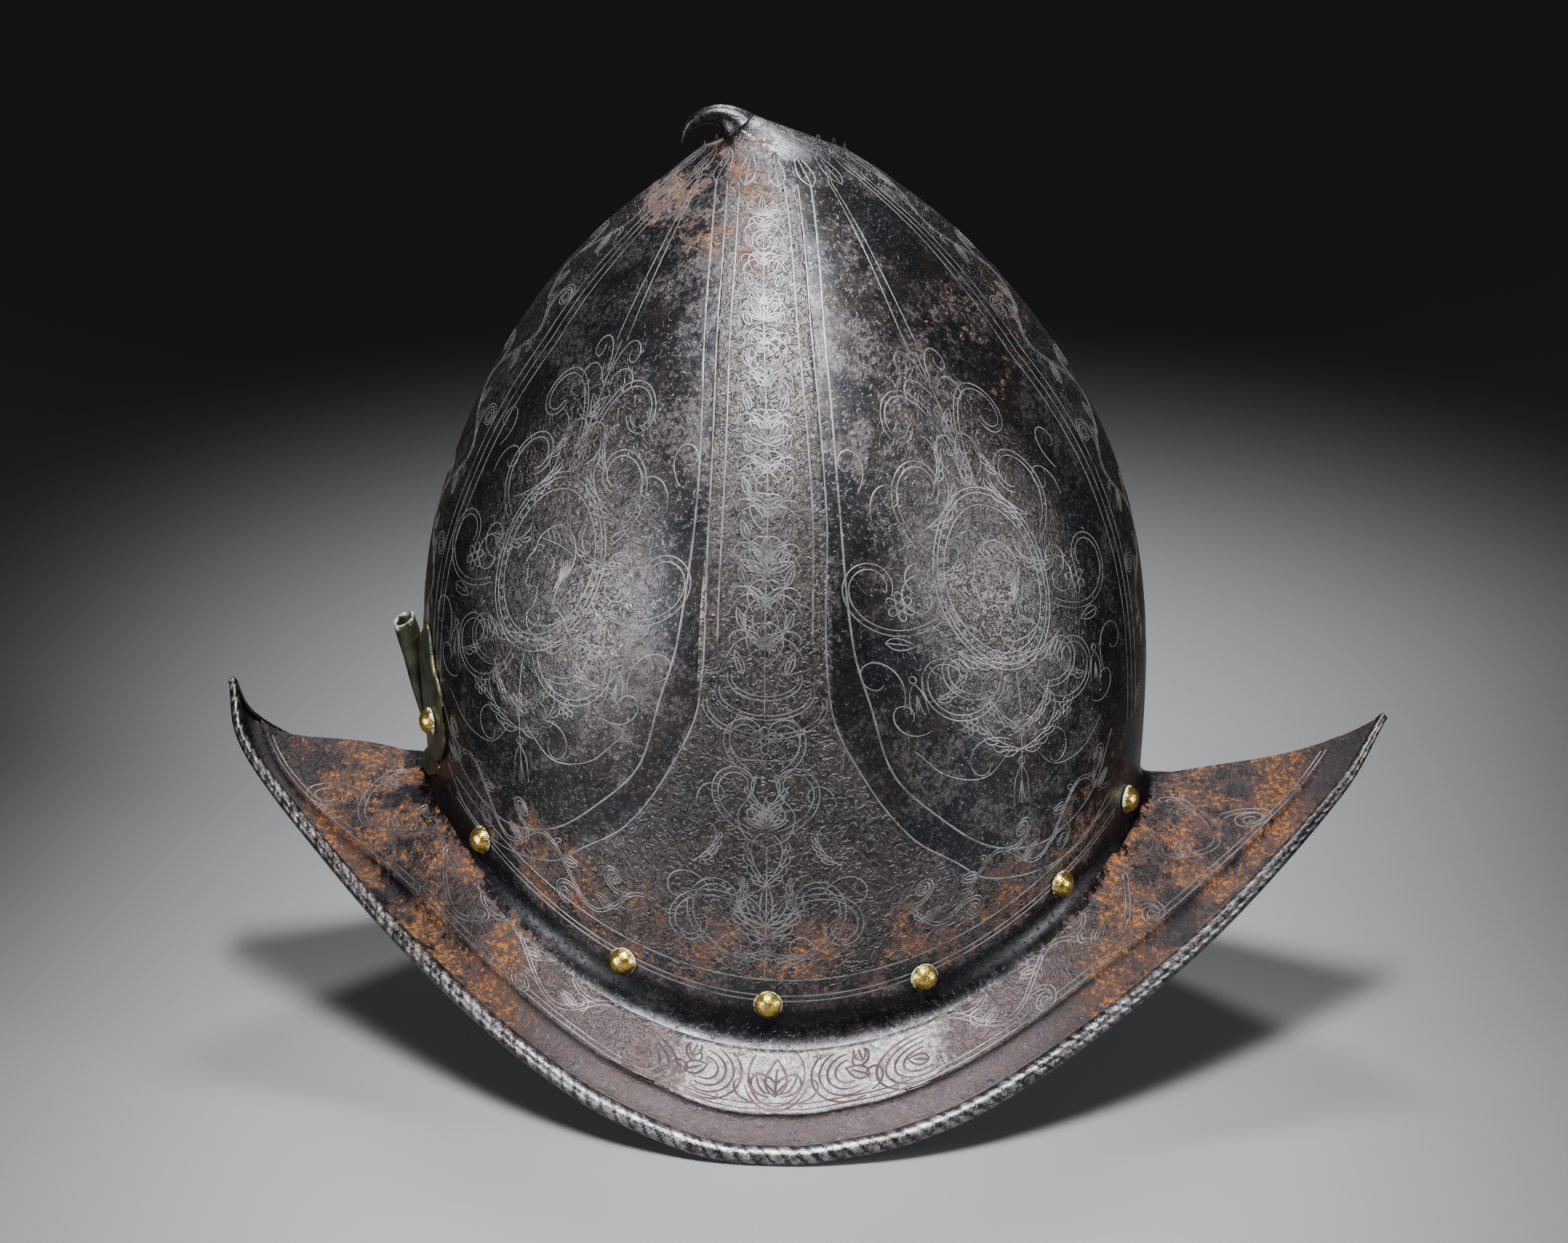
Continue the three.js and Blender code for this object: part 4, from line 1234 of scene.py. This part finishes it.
def rivet(name, place, normal, material):
    """A domed head."""
    sides = 32
    radius, height = (HEAD_PROFILE * (HEAD_RADIUS, HEAD_HEIGHT)).T[..., None]
    phi = full_turn(sides)
    flat = xyz(radius * np.cos(phi), radius * np.sin(phi), height)
    turn = np.array(Vector((0, 0, 1)).rotation_difference(Vector(normal)).to_matrix())
    points = flat @ turn.T + place + normal * CLEARANCE
    faces = grid_faces(len(HEAD_PROFILE), sides)
    made = make_object(f"{name}_head", points, faces, material, [name], "rivet_brass")
    add_attribute(made, "crust", np.repeat(HEAD_PROFILE[:, 0] ** 4, sides))


def rear_point(y, height, off):
    """A point off the skull's rear."""
    angle = skull_angle_at(y, height)
    return skull_point(angle, height) + skull_normal(angle, height) * off[..., None]


def fillet_point(y, turn, off):
    """A point off the fillet at the rear, turn of the way from the skull to the brim."""
    brim = BrimSections(skull_angle_at(y, np.full_like(y, PLATE_FOOT)))
    middle = brim.fillet(turn[..., None])
    flat = unit(xyz(np.cos(brim.angle), -np.sin(brim.angle), 0))
    normal = unit(np.cross(brim.fillet(turn[..., None] + 0.02) - middle, flat))
    normal *= np.where(normal[..., 2:3] < 0, -1, 1)
    return middle + normal * off[..., None]


def holder_plate(material):
    """The scalloped plate, which follows the skull and turns out over the brim at its foot."""
    across, rows = 121, 40
    share = np.linspace(-1, 1, across)
    low, high = (read_table(PLATE_OUTLINE, k, np.abs(share)) for k in (1, 2))
    up = low[:, None] + (high - low)[:, None] * np.linspace(0, 1, rows)
    y = np.broadcast_to(PLATE_HALF_WIDTH * share[:, None], up.shape)
    rim = np.maximum(np.abs(share)[:, None] ** 24, np.abs(np.linspace(-1, 1, rows)) ** 24)
    layers = []
    for off in (PLATE_GAP - 0.5 * rim, np.full_like(rim, CLEARANCE)):
        wall = rear_point(y, PLATE_FOOT + np.maximum(up, 0) * PLATE_HEIGHT, off)
        foot = fillet_point(y, np.maximum(-up, 0) * FILLET_TURN, off)
        layers.append(np.where(up[..., None] < 0, foot, wall))
    points = np.concatenate([layers[1], layers[0][:, ::-1]], axis=1)
    faces = grid_faces(across, 2 * rows)
    made = make_object("plume_plate", points, faces, material, ["plume_holder"], "holder_bronze")
    add_attribute(made, "edge", np.concatenate([rim, rim[:, ::-1]], axis=1))


def holder_tube(material):
    """The plume's tapered tube, open at its mouth."""
    rows, around = 60, 48
    up = np.linspace(0, 1, rows)

    def rings(wall, shares):
        off, deep, wide = (read_table(TUBE_SECTIONS, k, shares) for k in (1, 2, 3))
        height = PLATE_FOOT + TUBE_RISE + shares * TUBE_HEIGHT
        plate = np.minimum(height, PLATE_FOOT + PLATE_HEIGHT)
        surface = rear_point(np.zeros_like(plate), plate, np.full_like(plate, PLATE_GAP))[:, 0]
        depth = np.maximum(deep * TUBE_MOUTH_DEPTH / 2 - wall, 0.05)
        width = np.maximum(wide * TUBE_MOUTH_WIDTH / 2 - wall, 0.05)
        phi = full_turn(around)
        rounded = [np.sign(f(phi)) * np.abs(f(phi)) ** 0.75 for f in (np.cos, np.sin)]
        inward = depth[:, None] * rounded[0]
        return xyz(
            (surface - off * TUBE_MOUTH_OFF)[:, None] + inward,
            -width[:, None] * rounded[1],
            height[:, None] + shares[:, None] * inward * 0.33,
        )

    down = np.linspace(1, 0.4, 30)
    points = np.concatenate([rings(0, up), rings(TUBE_WALL, down)])
    faces = grid_faces(len(points), around)
    made = make_object("plume_tube", points, faces, material, slot="holder_bronze")
    mouth = np.repeat(np.concatenate([up, down]), around)
    add_attribute(made, "edge", mouth ** 40)
    add_attribute(made, "crust", mouth ** 5 * 0.6)


# Camera, floor and lights

LOOK_AT = Vector((-7.85, 0, 126.2)) * MM
CAMERA_DISTANCE = 1.3
CAMERA_ELEVATION = math.radians(16)
CAMERA_ROLL = math.radians(1.5)
VIEW_WIDTH = 473 * MM
SENSOR_WIDTH = 36
FLOOR_HALF = 6
FLOOR_GREY = (0.19, 0.19, 0.19)
ROOM_GREY = (0.30, 0.30, 0.31)
ROOM_STRENGTH = 0.14
SOFT_WHITE = (0.94, 0.965, 1.0)


def add_camera():
    data = bpy.data.cameras.new("camera")
    data.sensor_width = SENSOR_WIDTH
    data.lens = SENSOR_WIDTH * CAMERA_DISTANCE / VIEW_WIDTH
    data.dof.use_dof = False
    camera = bpy.data.objects.new("camera", data)
    back = Vector((0, -math.cos(CAMERA_ELEVATION), math.sin(CAMERA_ELEVATION)))
    tilt = Matrix.Rotation(math.pi / 2 - CAMERA_ELEVATION, 4, "X")
    roll = Matrix.Rotation(CAMERA_ROLL, 4, "Z")
    camera.matrix_world = Matrix.Translation(LOOK_AT + back * CAMERA_DISTANCE) @ tilt @ roll
    bpy.context.scene.collection.objects.link(camera)
    bpy.context.scene.camera = camera


def add_light(name, place, size, power, target, spread):
    """A soft box, in metres, watts and degrees."""
    data = bpy.data.lights.new(name, "AREA")
    data.shape = "RECTANGLE"
    data.size, data.size_y = size
    data.energy = power
    data.color = SOFT_WHITE
    data.spread = math.radians(spread)
    light = bpy.data.objects.new(name, data)
    light.location = place
    aim = Vector(target) - Vector(place)
    light.rotation_mode = "QUATERNION"
    light.rotation_quaternion = aim.to_track_quat("-Z", "Y")
    bpy.context.scene.collection.objects.link(light)


def add_studio():
    mesh = bpy.data.meshes.new("floor")
    corners = [(x * FLOOR_HALF, y * FLOOR_HALF, 0) for x, y in ((-1, -1), (1, -1), (1, 1), (-1, 1))]
    mesh.from_pydata(corners, [], [(0, 1, 2, 3)])
    mesh.materials.append(Nodes("floor_paper").finish(FLOOR_GREY, 0.9, 0.0))
    floor = bpy.data.objects.new("floor", mesh)
    bpy.context.scene.collection.objects.link(floor)
    world = bpy.data.worlds.new("studio")
    world.use_nodes = True
    background = world.node_tree.nodes["Background"]
    background.inputs["Color"].default_value = (*ROOM_GREY, 1)
    background.inputs["Strength"].default_value = ROOM_STRENGTH
    bpy.context.scene.world = world
    helmet, front_floor = (0, 0, 0.18), (0, -0.32, 0)
    add_light("left_box", (-1.09, -0.79, 0.2), (0.25, 0.24), 1.0, helmet, 38)
    add_light("right_box", (1.2, -0.61, 0.29), (0.24, 0.22), 0.85, helmet, 38)
    add_light("front_strip", (-0.05, -0.56, 1.25), (0.13, 0.85), 3.7, helmet, 27)
    add_light("back_top", (-0.02, 0.62, 1.25), (0.4, 0.3), 1.5, front_floor, 36)


steel = steel_material("steel")
brass = brass_material()
bronze = bronze_material()
shell_skin(steel)
shell_lining_face(steel_material("steel_inside"))
bright_line = line_material("etched_line", BRIGHT_LINE, BRIGHT_LINE_GRIME, 0.6)
dark_line = line_material("etched_groove", DARK_LINE, DARK_LINE_GRIME, 1.0)
faint_line = line_material("brim_line", FAINT_LINE, FAINT_LINE_GRIME, 0.8)
skull_lines, skull_ornament = skull_engraving()
brim_scrolls, patch_scrolls = brim_engraving()
for side in SIDES:
    skull_lines.build(f"skull_borders_{side}", bright_line, side)
    skull_ornament.build(f"skull_ornament_{side}", bright_line, side)
    brim_scrolls.build(f"brim_scrolls_{side}", faint_line, side)
    patch_scrolls.build(f"patch_scrolls_{side}", dark_line, side)
for side in SIDES:
    roped_edge(steel, side)
stalk(steel)
for name, place, normal in rivet_places():
    rivet(name, place, normal, brass)
holder_plate(bronze)
holder_tube(bronze)
add_camera()
add_studio()
